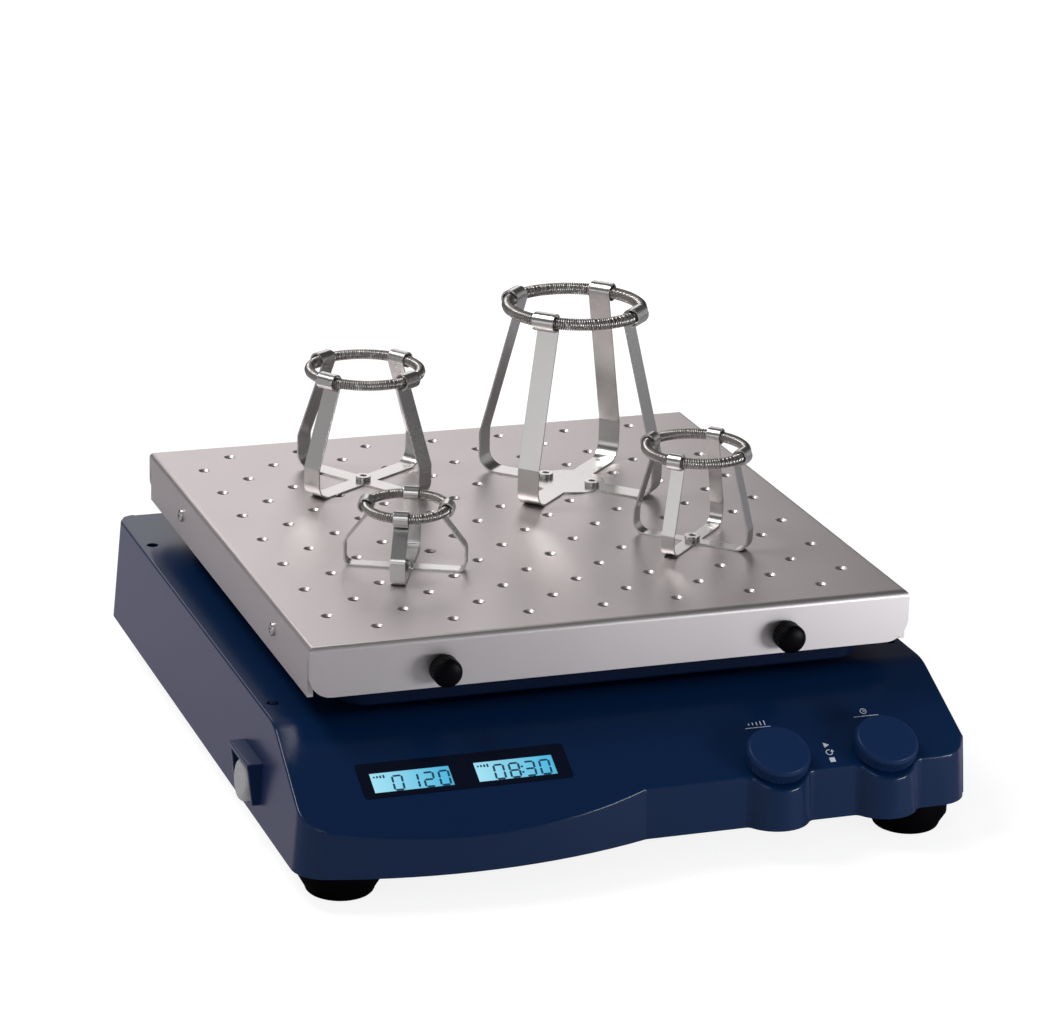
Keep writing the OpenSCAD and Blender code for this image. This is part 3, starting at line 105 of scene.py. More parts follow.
def new_group(name, inputs, outputs):
    """Empty shader group with named sockets; inputs are name, socket type and default."""
    tree = bpy.data.node_groups.new(name, "ShaderNodeTree")
    for label, kind, default in inputs:
        socket = tree.interface.new_socket(label, in_out="INPUT", socket_type=kind)
        socket.default_value = default
    for label, kind in outputs:
        tree.interface.new_socket(label, in_out="OUTPUT", socket_type=kind)
    return tree, tree.nodes.new("NodeGroupInput"), tree.nodes.new("NodeGroupOutput")


def math_node(tree, operation, a, b=None, c=None):
    """Math node whose inputs are numbers or sockets."""
    node = tree.nodes.new("ShaderNodeMath")
    node.operation = operation
    for index, value in enumerate((a, b, c)):
        if value is None:
            continue
        if isinstance(value, bpy.types.NodeSocket):
            tree.links.new(value, node.inputs[index])
        else:
            node.inputs[index].default_value = value
    return node.outputs[0]


def mixed(tree, amount, first, second):
    """Mix of two shader nodes: the first at amount 0, the second at 1."""
    mix = tree.nodes.new("ShaderNodeMixShader")
    tree.links.new(amount, mix.inputs["Fac"])
    tree.links.new(first.outputs[0], mix.inputs[1])
    tree.links.new(second.outputs[0], mix.inputs[2])
    return mix


# Grain group: scale and detail of the mottling, detail and share of the specks, and depth of the relief
MOTTLE_SCALE = 14
MOTTLE_DETAIL = 4
SPECK_DETAIL = 3
SPECK_SHARE = 0.6
GRAIN_DEPTH = 0.1 * MM


def make_grain_group():
    """Fine grain and broad mottling of a painted, blasted or moulded surface."""
    colour, number = "NodeSocketColor", "NodeSocketFloat"
    tree, given, result = new_group(
        "surface_grain",
        [("Color", colour, (0.5, 0.5, 0.5, 1)), ("Variation", number, 0.1), ("Grain Scale", number, 1500.0),
         ("Roughness", number, 0.5), ("Roughness Spread", number, 0.1), ("Relief", number, 0.2)],
        [("Color", colour), ("Roughness", number), ("Normal", "NodeSocketVector")],
    )
    place = tree.nodes.new("ShaderNodeTexCoord")
    fine = tree.nodes.new("ShaderNodeTexNoise")
    fine.inputs["Detail"].default_value = SPECK_DETAIL
    broad = tree.nodes.new("ShaderNodeTexNoise")
    broad.inputs["Scale"].default_value = MOTTLE_SCALE
    broad.inputs["Detail"].default_value = MOTTLE_DETAIL
    for texture in (fine, broad):
        tree.links.new(place.outputs["Object"], texture.inputs["Vector"])
    tree.links.new(given.outputs["Grain Scale"], fine.inputs["Scale"])
    mottle = math_node(tree, "SUBTRACT", broad.outputs["Fac"], 0.5)
    speck = math_node(tree, "SUBTRACT", fine.outputs["Fac"], 0.5)
    both = math_node(tree, "ADD", mottle, math_node(tree, "MULTIPLY", speck, SPECK_SHARE))
    shade = tree.nodes.new("ShaderNodeHueSaturation")
    tree.links.new(given.outputs["Color"], shade.inputs["Color"])
    value = math_node(tree, "MULTIPLY_ADD", both, given.outputs["Variation"], 1.0)
    tree.links.new(value, shade.inputs["Value"])
    tree.links.new(shade.outputs["Color"], result.inputs["Color"])
    rough = math_node(tree, "MULTIPLY_ADD", both, given.outputs["Roughness Spread"], given.outputs["Roughness"])
    tree.links.new(rough, result.inputs["Roughness"])
    bump = tree.nodes.new("ShaderNodeBump")
    bump.inputs["Distance"].default_value = GRAIN_DEPTH
    tree.links.new(given.outputs["Relief"], bump.inputs["Strength"])
    tree.links.new(fine.outputs["Fac"], bump.inputs["Height"])
    tree.links.new(bump.outputs["Normal"], result.inputs["Normal"])
    return tree


GRAIN = make_grain_group()


def finish_of(name, colour, roughness, metallic=0.0, variation=0.1, grain=1500.0, spread=0.1, relief=0.2,
              coat=0.0, coat_roughness=0.1, coat_ior=1.5, specular=0.5):
    """Material with the grain group on a Principled shader; colour is linear red, green and blue."""
    material = bpy.data.materials.new(name)
    material.use_nodes = True
    tree = material.node_tree
    shader = tree.nodes["Principled BSDF"]
    shader.inputs["Metallic"].default_value = metallic
    shader.inputs["Coat Weight"].default_value = coat
    shader.inputs["Coat Roughness"].default_value = coat_roughness
    shader.inputs["Coat IOR"].default_value = coat_ior
    shader.inputs["Specular IOR Level"].default_value = specular
    grains = tree.nodes.new("ShaderNodeGroup")
    grains.node_tree = GRAIN
    grains.inputs["Color"].default_value = (*colour, 1)
    settings = {"Variation": variation, "Grain Scale": grain, "Roughness": roughness,
                "Roughness Spread": spread, "Relief": relief}
    for label, value in settings.items():
        grains.inputs[label].default_value = value
    tree.links.new(grains.outputs["Color"], shader.inputs["Base Color"])
    tree.links.new(grains.outputs["Roughness"], shader.inputs["Roughness"])
    tree.links.new(grains.outputs["Normal"], shader.inputs["Normal"])
    return material


def gloss_on_walls(material, colour, roughness, start, gain):
    """Adds a tinted gloss to upright walls that grows where they are seen from the side."""
    tree = material.node_tree
    facing = tree.nodes.new("ShaderNodeLayerWeight")
    surface = tree.nodes.new("ShaderNodeNewGeometry")
    split = tree.nodes.new("ShaderNodeSeparateXYZ")
    tree.links.new(surface.outputs["True Normal"], split.inputs["Vector"])
    upright = math_node(tree, "SUBTRACT", 1.0, math_node(tree, "ABSOLUTE", split.outputs["Z"]))
    grazing = math_node(tree, "MULTIPLY", math_node(tree, "SUBTRACT", facing.outputs["Facing"], start), gain)
    amount = math_node(tree, "MULTIPLY", grazing, upright)
    gloss = tree.nodes.new("ShaderNodeBsdfGlossy")
    gloss.inputs["Color"].default_value = (*colour, 1)
    gloss.inputs["Roughness"].default_value = roughness
    mix = mixed(tree, math_node(tree, "MAXIMUM", amount, 0.0), tree.nodes["Principled BSDF"], gloss)
    tree.links.new(mix.outputs[0], tree.nodes["Material Output"].inputs["Surface"])


# Display light: where the bluer end of its fade lies, as a share of the width, and its strength
BLUE_FROM = 0.9
DISPLAY_GLOW = 0.85


def lit_display():
    """Backlit figure display: pale at the lower left, bluer to the right."""
    material = finish_of("display_backlight", (0.05, 0.25, 0.35), 0.25, variation=0.05, relief=0.0)
    tree = material.node_tree
    shader = tree.nodes["Principled BSDF"]
    place = tree.nodes.new("ShaderNodeTexCoord")
    split = tree.nodes.new("ShaderNodeSeparateXYZ")
    tree.links.new(place.outputs["Object"], split.inputs["Vector"])
    from_left = math_node(tree, "SUBTRACT", split.outputs["X"], LCD_LEFT_END)
    across = math_node(tree, "DIVIDE", math_node(tree, "MODULO", from_left, LCD_SPACING), LCD_WIDTH)
    ramp = tree.nodes.new("ShaderNodeValToRGB")
    ramp.color_ramp.elements[0].color = (0.38, 0.67, 0.74, 1)
    ramp.color_ramp.elements[1].color = (0.06, 0.35, 0.55, 1)
    ramp.color_ramp.elements[1].position = BLUE_FROM
    tree.links.new(across, ramp.inputs["Fac"])
    tree.links.new(ramp.outputs["Color"], shader.inputs["Emission Color"])
    shader.inputs["Emission Strength"].default_value = DISPLAY_GLOW
    return material


PAINT = finish_of("navy_paint", (0.0016, 0.0148, 0.056), 0.55, variation=0.12, grain=2600, relief=0.10,
                  coat=0.75, coat_roughness=0.20, coat_ior=1.4, specular=0.03)
gloss_on_walls(PAINT, (0.80, 0.74, 1.0), 0.3, start=0.52, gain=0.74)
KNOB_PLASTIC = finish_of("navy_knob_plastic", (0.0050, 0.0210, 0.074), 0.40, variation=0.10, grain=3200,
                         spread=0.12, relief=0.12, specular=0.16)
# Carrier: the housing's navy paint darkened to about half, painted shade for the shadow under the platform
SHADED_CARRIER_PAINT = finish_of("carrier_paint_painted_shade", (0.002, 0.007, 0.026), 0.42, variation=0.10, grain=2200, relief=0.12,
                          specular=0.05)
ANODISED = finish_of("anodised_sheet", (0.70, 0.655, 0.655), 0.46, metallic=1.0, variation=0.05, grain=3500,
                     spread=0.08, relief=0.10)
CAST_ALLOY = finish_of("cast_alloy", (0.50, 0.50, 0.51), 0.45, metallic=1.0, grain=900, relief=0.3)
GREY_STEEL = finish_of("grey_powder_coat", (0.24, 0.25, 0.26), 0.5, variation=0.1, grain=2000, relief=0.2)
GROUND_STEEL = finish_of("ground_steel", (0.60, 0.60, 0.61), 0.24, metallic=1.0, grain=1800, relief=0.05)
BAND_STEEL = finish_of("bright_band", (0.66, 0.65, 0.64), 0.26, metallic=1.0, variation=0.04, grain=1200,
                       spread=0.08, relief=0.03)
WIRE_STEEL = finish_of("spring_wire", (0.42, 0.40, 0.385), 0.30, metallic=1.0, variation=0.1, grain=1500,
                       relief=0.05)
SCREW_STEEL = finish_of("plated_screw", (0.66, 0.65, 0.64), 0.22, metallic=1.0, grain=2500, relief=0.05)
BLACK_OXIDE = finish_of("black_oxide", (0.005, 0.005, 0.006), 0.40, grain=2500, relief=0.1, specular=0.3)
RUBBER = finish_of("foot_rubber", (0.0012, 0.0012, 0.0018), 0.55, variation=0.2, grain=2200, relief=0.2,
                   specular=0.025)
BLACK_PLASTIC = finish_of("black_plastic", (0.0012, 0.0012, 0.0020), 0.38, variation=0.2, grain=2500, relief=0.15,
                          specular=0.06)
BOARD = finish_of("board_mask", (0.012, 0.12, 0.05), 0.35, variation=0.2, grain=700, relief=0.3)
WINDOW = finish_of("display_bezel", (0.002, 0.004, 0.014), 0.22, variation=0.05, relief=0.0, specular=0.3)
LCD = lit_display()
FIGURES = finish_of("display_figures", (0.010, 0.065, 0.13), 0.4, variation=0.1, relief=0.0)
BOOT = finish_of("clouded_boot", (0.34, 0.345, 0.35), 0.28, variation=0.15, grain=900, relief=0.05, coat=0.4)
PRINT = finish_of("pale_print", (0.50, 0.55, 0.62), 0.5, variation=0.1, relief=0.0)

FINISHES = {
    "navy_shell": PAINT, "navy_knob": KNOB_PLASTIC, "platform_aluminium": ANODISED, "cast_alloy": CAST_ALLOY,
    "base_steel": GREY_STEEL, "ground_steel": GROUND_STEEL, "clamp_steel": BAND_STEEL, "spring_steel": WIRE_STEEL,
    "screw_steel": SCREW_STEEL, "black_screw": BLACK_OXIDE, "foot_rubber": RUBBER, "black_plastic": BLACK_PLASTIC,
    "board_green": BOARD, "window_dark": WINDOW, "display_blue": LCD, "boot_clear": BOOT,
}


# Weight of the larger faces in the evened normals, in percent
FLAT_FACE_WEIGHT = 80


def add_piece(name, mesh, material, body, replaced=(), sharp=35.0, weighted=False):
    """Object for a finished mesh: smooth but for its sharp edges, on its body, with its finish."""
    mesh.materials.clear()
    mesh.materials.append(material)
    mesh.shade_smooth()
    mesh.set_sharp_from_angle(angle=math.radians(sharp))
    piece = bpy.data.objects.new(name, mesh)
    bpy.context.scene.collection.objects.link(piece)
    if weighted:
        even = piece.modifiers.new("even_normals", "WEIGHTED_NORMAL")
        even.keep_sharp = True
        even.weight = FLAT_FACE_WEIGHT
    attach(piece, body)
    if replaced:
        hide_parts(*replaced)


def replace_node(node, name, mesh, sharp=35.0, weighted=False, material=None):
    """Piece in place of a CAD node, on its body and in its slot, in the slot's finish unless another is given."""
    slot = SLOT_OF[node]
    add_piece(name, mesh, material or FINISHES[slot], BODY_OF[node], [node], sharp, weighted)


def mesh_of(bm, name):
    """Mesh from a bmesh, which is freed."""
    mesh = bpy.data.meshes.new(name)
    bm.to_mesh(mesh)
    bm.free()
    return mesh


# Points this near are joined, and faces this near to flat, in degrees, become one
JOIN_DISTANCE = 0.002 * MM
FLAT_ANGLE = 0.4


def merged_copy(node):
    """A CAD node's shape as one joined surface with its flat faces whole."""
    bm = bmesh.new()
    bm.from_mesh(frame["nodes"][node].data)
    bmesh.ops.remove_doubles(bm, verts=bm.verts, dist=JOIN_DISTANCE)
    bmesh.ops.dissolve_limit(bm, angle_limit=math.radians(FLAT_ANGLE), verts=bm.verts, edges=bm.edges,
                             use_dissolve_boundaries=False)
    bm.normal_update()
    return bm


def round_edges(bm, wanted, width, segments):
    """Rounds the outward edges that the function picks."""
    edges = [edge for edge in bm.edges if len(edge.link_faces) == 2 and wanted(edge)]
    bmesh.ops.bevel(bm, geom=edges, offset=width, offset_type="OFFSET", segments=segments, profile=0.5,
                    affect="EDGES", clamp_overlap=False, material=-1)
    bm.normal_update()


def outward(edge, least):
    """True where the faces meet in an outward edge of at least this many degrees."""
    return edge.calc_face_angle_signed(0) > math.radians(least)


# Housing


HOUSING_LOW, HOUSING_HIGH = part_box("housing")
# Rim: its least angle, the least rise of the deck's normal, the most of a wall's, and the bands it lies in
RIM_ANGLE = 38
DECK_RISE = 0.85
WALL_RISE = 0.35
RIM_LOW = HOUSING_LOW.z + 12 * MM
RIM_BAND = 9 * MM
FRONT_BAND = 24 * MM
# Holes that stay sharp: the deck screws, whose walls also face forward or back, and the knobs' shafts
DECK_NEAR = 0.2 * MM
DECK_SCREW_RADIUS = 2.9 * MM
DECK_SCREW_X = (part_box("deck_screws")[1].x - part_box("deck_screws")[0].x) / 2 - DECK_SCREW_RADIUS
HOLE_WALL_LEAST = 0.02
SCREW_HOLE_REACH = 5 * MM
KNOB_HOLE_REACH = 8 * MM
# Half the stretch round the window that stays sharp: along it, down the slope, and in all
WINDOW_HALF_LENGTH = 58 * MM
WINDOW_HALF_HEIGHT = 13 * MM
WINDOW_REACH = 62 * MM
# Hood over the power switch: half its length, the side wall's lean, how far it stands out and its least angle
SWITCH_Y = JOINTS["power_rocker"]["pos_m"][1]
HOOD_HALF = 22 * MM
HOOD_LEAN = 0.08
HOOD_PROUD = 1 * MM
HOOD_ANGLE = 30
# Rounding of the housing and the carrier
HOOD_ROUND = 0.6 * MM
RIM_ROUND = 1.2 * MM
# Carrier: the least angle of its lower rim, how near its foot and sides that lies, and the depth of its corners
CARRIER_ANGLE = 50
CARRIER_FOOT = 0.5 * MM
CARRIER_SIDE = 0.3 * MM
CARRIER_CORNER = 16 * MM


def middle_of(edge):
    """Middle point of an edge."""
    return (edge.verts[0].co + edge.verts[1].co) / 2


def is_rim(edge):
    """Edge between the deck or panel and an outer wall, away from windows and holes."""
    if not outward(edge, RIM_ANGLE):
        return False
    up, side = sorted((face.normal for face in edge.link_faces), key=lambda normal: -normal.z)
    middle = middle_of(edge)
    if up.z < DECK_RISE or abs(side.z) > WALL_RISE or middle.z < RIM_LOW:
        return False
    near_outline = (abs(middle.x) > HOUSING_HIGH.x - RIM_BAND or middle.y > HOUSING_HIGH.y - RIM_BAND
                    or middle.y < HOUSING_LOW.y + FRONT_BAND)
    on_deck = abs(middle.z - HOUSING_HIGH.z) < DECK_NEAR
    by_screw = abs(abs(middle.x) - DECK_SCREW_X) < SCREW_HOLE_REACH
    is_hole = on_deck and by_screw and side.y * side.y > HOLE_WALL_LEAST
    from_window = middle - on_panel(WINDOW_X, WINDOW_DOWN)
    by_window = (from_window.length < WINDOW_REACH and abs(from_window.x) < WINDOW_HALF_LENGTH
                 and abs(from_window.dot(PANEL_DOWN)) < WINDOW_HALF_HEIGHT)
    by_knob = any((middle - Vector(JOINTS[name]["pos_m"])).length < KNOB_HOLE_REACH
                  for name in ("knob_left_turn", "knob_right_turn"))
    return near_outline and not (is_hole or by_knob or by_window)


def is_hood(edge):
    """Edge of the hood over the power switch."""
    middle = middle_of(edge)
    proud = middle.x < -HOUSING_HIGH.x + (middle.z - HOUSING_LOW.z) * HOOD_LEAN - HOOD_PROUD
    return proud and outward(edge, HOOD_ANGLE) and abs(middle.y - SWITCH_Y) < HOOD_HALF


def make_housing():
    """Painted housing with its rim and the hood's edges rounded."""
    bm = merged_copy("housing")
    round_edges(bm, is_hood, HOOD_ROUND, 2)
    round_edges(bm, is_rim, RIM_ROUND, 3)
    replace_node("housing", "housing_shell", mesh_of(bm, "housing_shell"), sharp=30, weighted=True)


def make_carrier():
    """Carrier under the platform with its lower outer edges rounded; its darker copy of the navy paint is painted
    shade.
    """
    bm = merged_copy("carrier")
    low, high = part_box("carrier")
    middle_y, half_y = (low.y + high.y) / 2, (high.y - low.y) / 2

    def is_lower_rim(edge):
        """Lower edge of an outer wall."""
        middle = middle_of(edge)
        at_side = abs(middle.x) > high.x - CARRIER_SIDE or abs(middle.y - middle_y) > half_y - CARRIER_CORNER
        return outward(edge, CARRIER_ANGLE) and middle.z < low.z + CARRIER_FOOT and at_side

    round_edges(bm, is_lower_rim, RIM_ROUND, 3)
    # The darker paint on the carrier is painted shade from the platform above, not a paint of its own
    replace_node("carrier", "carrier_tray", mesh_of(bm, "carrier_tray"), sharp=30, weighted=True,
                 material=SHADED_CARRIER_PAINT)


def make_platform():
    """Folded platform as one smooth sheet with sharp hole edges."""
    bm = merged_copy("platform")
    replace_node("platform", "platform_sheet", mesh_of(bm, "platform_sheet"), sharp=24, weighted=True)


# Knobs: gap over the panel, foot's rounding and inset, height, shoulder over the ribs, its step in to the top, the
# top edge's rounding, how far the top swells and the share of the radius where it does, and the ribs
KNOB_GAP = 1.4 * MM
KNOB_FOOT = 0.7 * MM
KNOB_FOOT_INSET = 0.9 * MM
KNOB_HEIGHT = 8 * MM
KNOB_SHOULDER = 6.1 * MM
KNOB_STEP = 0.5 * MM
KNOB_SOFT = 1.3 * MM
KNOB_SWELL = 0.08 * MM
KNOB_SWELL_SHARE = 0.55
RIBS = 80
RIB_DEPTH = 0.75 * MM
SHOULDER_DEPTH = RIB_DEPTH * 0.6
ROUND_STEPS = 6


def knob_rings(radius):
    """Rings of a knob from its foot to its top, each height, radius and depth of the grooves."""
    rings = [(0.0, radius - KNOB_FOOT_INSET, 0.0), (KNOB_FOOT / 2, radius - KNOB_FOOT / 2, 0.0),
             (KNOB_FOOT, radius, RIB_DEPTH), (KNOB_SHOULDER - KNOB_STEP, radius, RIB_DEPTH),
             (KNOB_SHOULDER, radius - SHOULDER_DEPTH, 0.0)]
    centre = radius - SHOULDER_DEPTH - KNOB_STEP - KNOB_SOFT
    for step in range(ROUND_STEPS + 1):
        angle = math.pi / 2 * step / ROUND_STEPS
        rings.append((KNOB_HEIGHT - KNOB_SOFT + KNOB_SOFT * math.sin(angle), centre + KNOB_SOFT * math.cos(angle),
                      0.0))
    return rings + [(KNOB_HEIGHT + KNOB_SWELL, radius * KNOB_SWELL_SHARE, 0.0)]


def make_knob(side):
    """Knob with a finely ribbed skirt, a plain shoulder and a rounded top edge."""
    node = "knob_" + side
    low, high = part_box(node)
    joint = JOINTS[node + "_turn"]
    bm = bmesh.new()
    loops = []
    for level, size, cut in knob_rings((high.x - low.x) / 2):
        made = bmesh.ops.create_circle(bm, cap_ends=False, segments=RIBS * 2, radius=size)["verts"]
        for index, vert in enumerate(made):
            if index % 2:
                vert.co.xy *= (size - cut) / size
            vert.co.z = level
        loops.append([edge for edge in bm.edges if edge.verts[0] in made and edge.verts[1] in made])
    for below, above in zip(loops, loops[1:]):
        bmesh.ops.bridge_loops(bm, edges=below + above)
    bmesh.ops.holes_fill(bm, edges=loops[0], sides=0)
    bmesh.ops.holes_fill(bm, edges=loops[-1], sides=0)
    bmesh.ops.recalc_face_normals(bm, faces=bm.faces)
    turn = Vector((0, 0, 1)).rotation_difference(Vector(joint["axis"])).to_matrix().to_4x4()
    place = Matrix.Translation(Vector(joint["pos_m"]) + Vector(joint["axis"]) * KNOB_GAP)
    bmesh.ops.transform(bm, matrix=place @ turn, verts=bm.verts)
    replace_node(node, "control_knob_" + side, mesh_of(bm, "control_knob_" + side), sharp=50)


# Vessel clamps: rounding of the bands' edges and their least angle, and the coil springs' wire, points in a turn
# and spacing of the turns
BAND_ROUND = 0.16 * MM
BAND_ANGLE = 70
WIRE = 1.1 * MM
TURN_STEPS = 10
TURN_SPACING = WIRE * 1.12


def make_clamp(size):
    """Bent bands of one clamp with their long edges eased."""
    node = "clamp_" + size
    bm = merged_copy(node)
    round_edges(bm, lambda edge: outward(edge, BAND_ANGLE), BAND_ROUND, 2)
    replace_node(node, node + "_bands", mesh_of(bm, node + "_bands"), sharp=30, weighted=True)


def make_coil(size):
    """Close-wound coil spring, joined into a ring, in place of the plain one."""
    node = "clamp_%s_ring" % size
    low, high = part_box(node)
    thick = high.z - low.z
    centre = (low + high) / 2
    ring = (high.x - low.x - thick) / 2
    winding = (thick - WIRE) / 2
    curve = bpy.data.curves.new(node + "_coil", "CURVE")
    curve.dimensions = "3D"
    curve.bevel_depth = WIRE / 2
    curve.bevel_resolution = 1
    spline = curve.splines.new("POLY")
    spline.use_cyclic_u = True
    count = round(2 * math.pi * ring / TURN_SPACING) * TURN_STEPS
    spline.points.add(count - 1)
    for index, point in enumerate(spline.points):
        along = 2 * math.pi * index / count
        around = 2 * math.pi * index / TURN_STEPS
        reach = ring + winding * math.cos(around)
        point.co = (centre.x + reach * math.cos(along), centre.y + reach * math.sin(along),
                    centre.z + winding * math.sin(around), 1)
    drawn = bpy.data.objects.new(node + "_drawn", curve)
    bpy.context.scene.collection.objects.link(drawn)
    mesh = bpy.data.meshes.new_from_object(drawn.evaluated_get(bpy.context.evaluated_depsgraph_get()))
    bpy.data.objects.remove(drawn)
    mesh.name = node + "_coil"
    replace_node(node, node + "_coil", mesh, sharp=60)


# Screws in the platform's flanges: the head, the radius at its seat, its edge and wall as shares of its height, the
# cross recess, the plain parts behind it, each radius, start and end, and the sides of the rounds
HEAD_RADIUS = 3.75 * MM
HEAD_HEIGHT = 2.2 * MM
HEAD_FOOT = HEAD_RADIUS * 0.97
FOOT_SHARE = 0.18
WALL_SHARE = 0.42
CROSS_LENGTH = HEAD_RADIUS * 1.15
CROSS_WIDTH = HEAD_RADIUS * 0.26
CROSS_MIDDLE = HEAD_HEIGHT * 1.05
SHANK = (2 * MM, 0, -26 * MM)
BOSS = (4 * MM, -3 * MM, -22 * MM)
HEAD_SIDES = 40
SHANK_SIDES = 24
# How far the screws are turned, in radians: side, then front and rear
SCREW_TURNS = ((-1, (0.5, 0.2)), (1, (0.3, 0.7)))


def cross_head():
    """Domed screw head on z = 0 with a cross recess."""
    bm = bmesh.new()
    profile = [(0.0, 0.0), (HEAD_FOOT, 0.0), (HEAD_RADIUS, HEAD_HEIGHT * FOOT_SHARE),
               (HEAD_RADIUS, HEAD_HEIGHT * WALL_SHARE)]
    for step in range(1, ROUND_STEPS + 1):
        angle = math.pi / 2 * step / ROUND_STEPS
        profile.append((HEAD_RADIUS * math.cos(angle),
                        HEAD_HEIGHT * (WALL_SHARE + (1 - WALL_SHARE) * math.sin(angle))))
    verts = [bm.verts.new((across, 0, up)) for across, up in profile]
    edges = [bm.edges.new(pair) for pair in zip(verts, verts[1:])]
    bmesh.ops.spin(bm, geom=verts + edges, cent=(0, 0, 0), axis=(0, 0, 1), angle=2 * math.pi, steps=HEAD_SIDES,
                   use_merge=True)
    bmesh.ops.remove_doubles(bm, verts=bm.verts, dist=NEAR)
    bmesh.ops.recalc_face_normals(bm, faces=bm.faces)
    head = bpy.data.objects.new("head", mesh_of(bm, "head"))
    bpy.context.scene.collection.objects.link(head)
    cutter_bm = bmesh.new()
    for turn in (0, math.pi / 2):
        made = bmesh.ops.create_cube(cutter_bm, size=1)["verts"]
        bmesh.ops.scale(cutter_bm, vec=(CROSS_LENGTH, CROSS_WIDTH, HEAD_HEIGHT), verts=made)
        bmesh.ops.rotate(cutter_bm, verts=made, cent=(0, 0, 0), matrix=Matrix.Rotation(turn, 3, "Z"))
        bmesh.ops.translate(cutter_bm, verts=made, vec=(0, 0, CROSS_MIDDLE))
    cutter = bpy.data.objects.new("cutter", mesh_of(cutter_bm, "cutter"))
    bpy.context.scene.collection.objects.link(cutter)
    cut = head.modifiers.new("cross", "BOOLEAN")
    cut.object = cutter
    cut.operation = "DIFFERENCE"
    cut.solver = "EXACT"
    cut.use_self = True
    bpy.context.view_layer.update()
    mesh = bpy.data.meshes.new_from_object(head.evaluated_get(bpy.context.evaluated_depsgraph_get()))
    bpy.data.objects.remove(head)
    bpy.data.objects.remove(cutter)
    return mesh


def add_screw(bm, head, point, axis, turn):
    """One screw with its head's seat at the point, its head outward along the axis and its plain parts behind."""
    before = set(bm.verts)
    bm.from_mesh(head)
    for radius, start, end in (SHANK, BOSS):
        made = bmesh.ops.create_cone(bm, cap_ends=True, segments=SHANK_SIDES, radius1=radius, radius2=radius,
                                     depth=start - end)["verts"]
        bmesh.ops.translate(bm, verts=made, vec=(0, 0, (start + end) / 2))
    lean = Vector((0, 0, 1)).rotation_difference(axis).to_matrix().to_4x4()
    place = Matrix.Translation(point) @ lean @ Matrix.Rotation(turn, 4, "Z")
    bmesh.ops.transform(bm, matrix=place, verts=[vert for vert in bm.verts if vert not in before])


def make_screws():
    """Two cross-head screws in each side flange of the platform."""
    low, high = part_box("platform_screws")
    sheet_low, sheet_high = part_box("platform")
    end = BOSS[0]
    head = cross_head()
    bm = bmesh.new()
    for side, turns in SCREW_TURNS:
        x = sheet_high.x if side > 0 else sheet_low.x
        for y, turn in zip((low.y + end, high.y - end), turns):
            add_screw(bm, head, Vector((x, y, (low.z + high.z) / 2)), Vector((side, 0, 0)), turn)
    replace_node("platform_screws", "flange_screws", mesh_of(bm, "flange_screws"))


# Display: the bezel's thickness and corners, and how deep the lit plates lie, how thick they are and their play
BEZEL_THICKNESS = 1.5 * MM
BEZEL_CORNER = 1.6 * MM
LCD_SUNK = 0.35 * MM
LCD_THICKNESS = 0.8 * MM
LCD_PLAY = 0.1 * MM
# Figures: size, spacing, foot line, bars' width, lean, height over the lit plates, and the colon's dots as shares
# of the figures' height
FIGURE_WIDTH = 5.0 * MM
FIGURE_HEIGHT = 9.2 * MM
FIGURE_STEP = 8.2 * MM
FIGURE_FOOT = -5.6 * MM
FIGURE_BAR = 1.15 * MM
FIGURE_LEAN = 0.06
FIGURE_LIFT = 0.06 * MM
COLON_LEVELS = (0.3, 0.7)
# What each display says and where it starts, from the middle between them
TEXTS = (("0120", -LCD_SPACING / 2 - 10.2 * MM), ("08:30", LCD_SPACING / 2 - 11.5 * MM))
# Bars lit in each figure, and the ends of each bar: t top, m middle, b bottom, with l left or r right
SEGMENTS = {"0": "abcdef", "1": "bc", "2": "abged", "3": "abgcd", "8": "abcdefg"}
BARS = {"a": ("tl", "tr"), "b": ("tr", "mr"), "c": ("mr", "br"), "d": ("bl", "br"), "e": ("ml", "bl"),
        "f": ("tl", "ml"), "g": ("ml", "mr")}
CORNERS = {"tl": (0, 1), "tr": (1, 1), "ml": (0, 0.5), "mr": (1, 0.5), "bl": (0, 0), "br": (1, 0)}
# Small rising bars at the upper left of each display: count, start, step, middle line, width, first height, growth
# and height over the lit plates
SCALE_BARS = 4
SCALE_START = -19.0 * MM
SCALE_STEP = 1.7 * MM
SCALE_Y = 3.9 * MM
SCALE_WIDTH = 1.0 * MM
SCALE_HEIGHT = 1.0 * MM
SCALE_GROWTH = 0.35 * MM
SCALE_LIFT = 0.05 * MM


def add_plate(bm, corners, thick):
    """Flat plate over the corners, drawn in x and y, with its back at z = 0."""
    face = bm.faces.new([bm.verts.new((x, y, 0)) for x, y in corners])
    made = bmesh.ops.extrude_face_region(bm, geom=[face])["geom"]
    bmesh.ops.translate(bm, verts=[item for item in made if isinstance(item, bmesh.types.BMVert)],
                        vec=(0, 0, thick))


def rectangle(x, y, width, height):
    """Corners of a rectangle round its middle."""
    return [(x - width / 2, y - height / 2), (x + width / 2, y - height / 2),
            (x + width / 2, y + height / 2), (x - width / 2, y + height / 2)]


def segment_bar(start, end, width):
    """Corners of one pointed bar of a figure."""
    along = (Vector(end) - Vector(start)).normalized()
    side = Vector((-along.y, along.x)) * width / 2
    inset = along * width * 0.15
    a, b = Vector(start) + inset, Vector(end) - inset
    tip = along * width / 2
    return [tuple(point) for point in (a, a + tip - side, b - tip - side, b, b - tip + side, a + tip + side)]


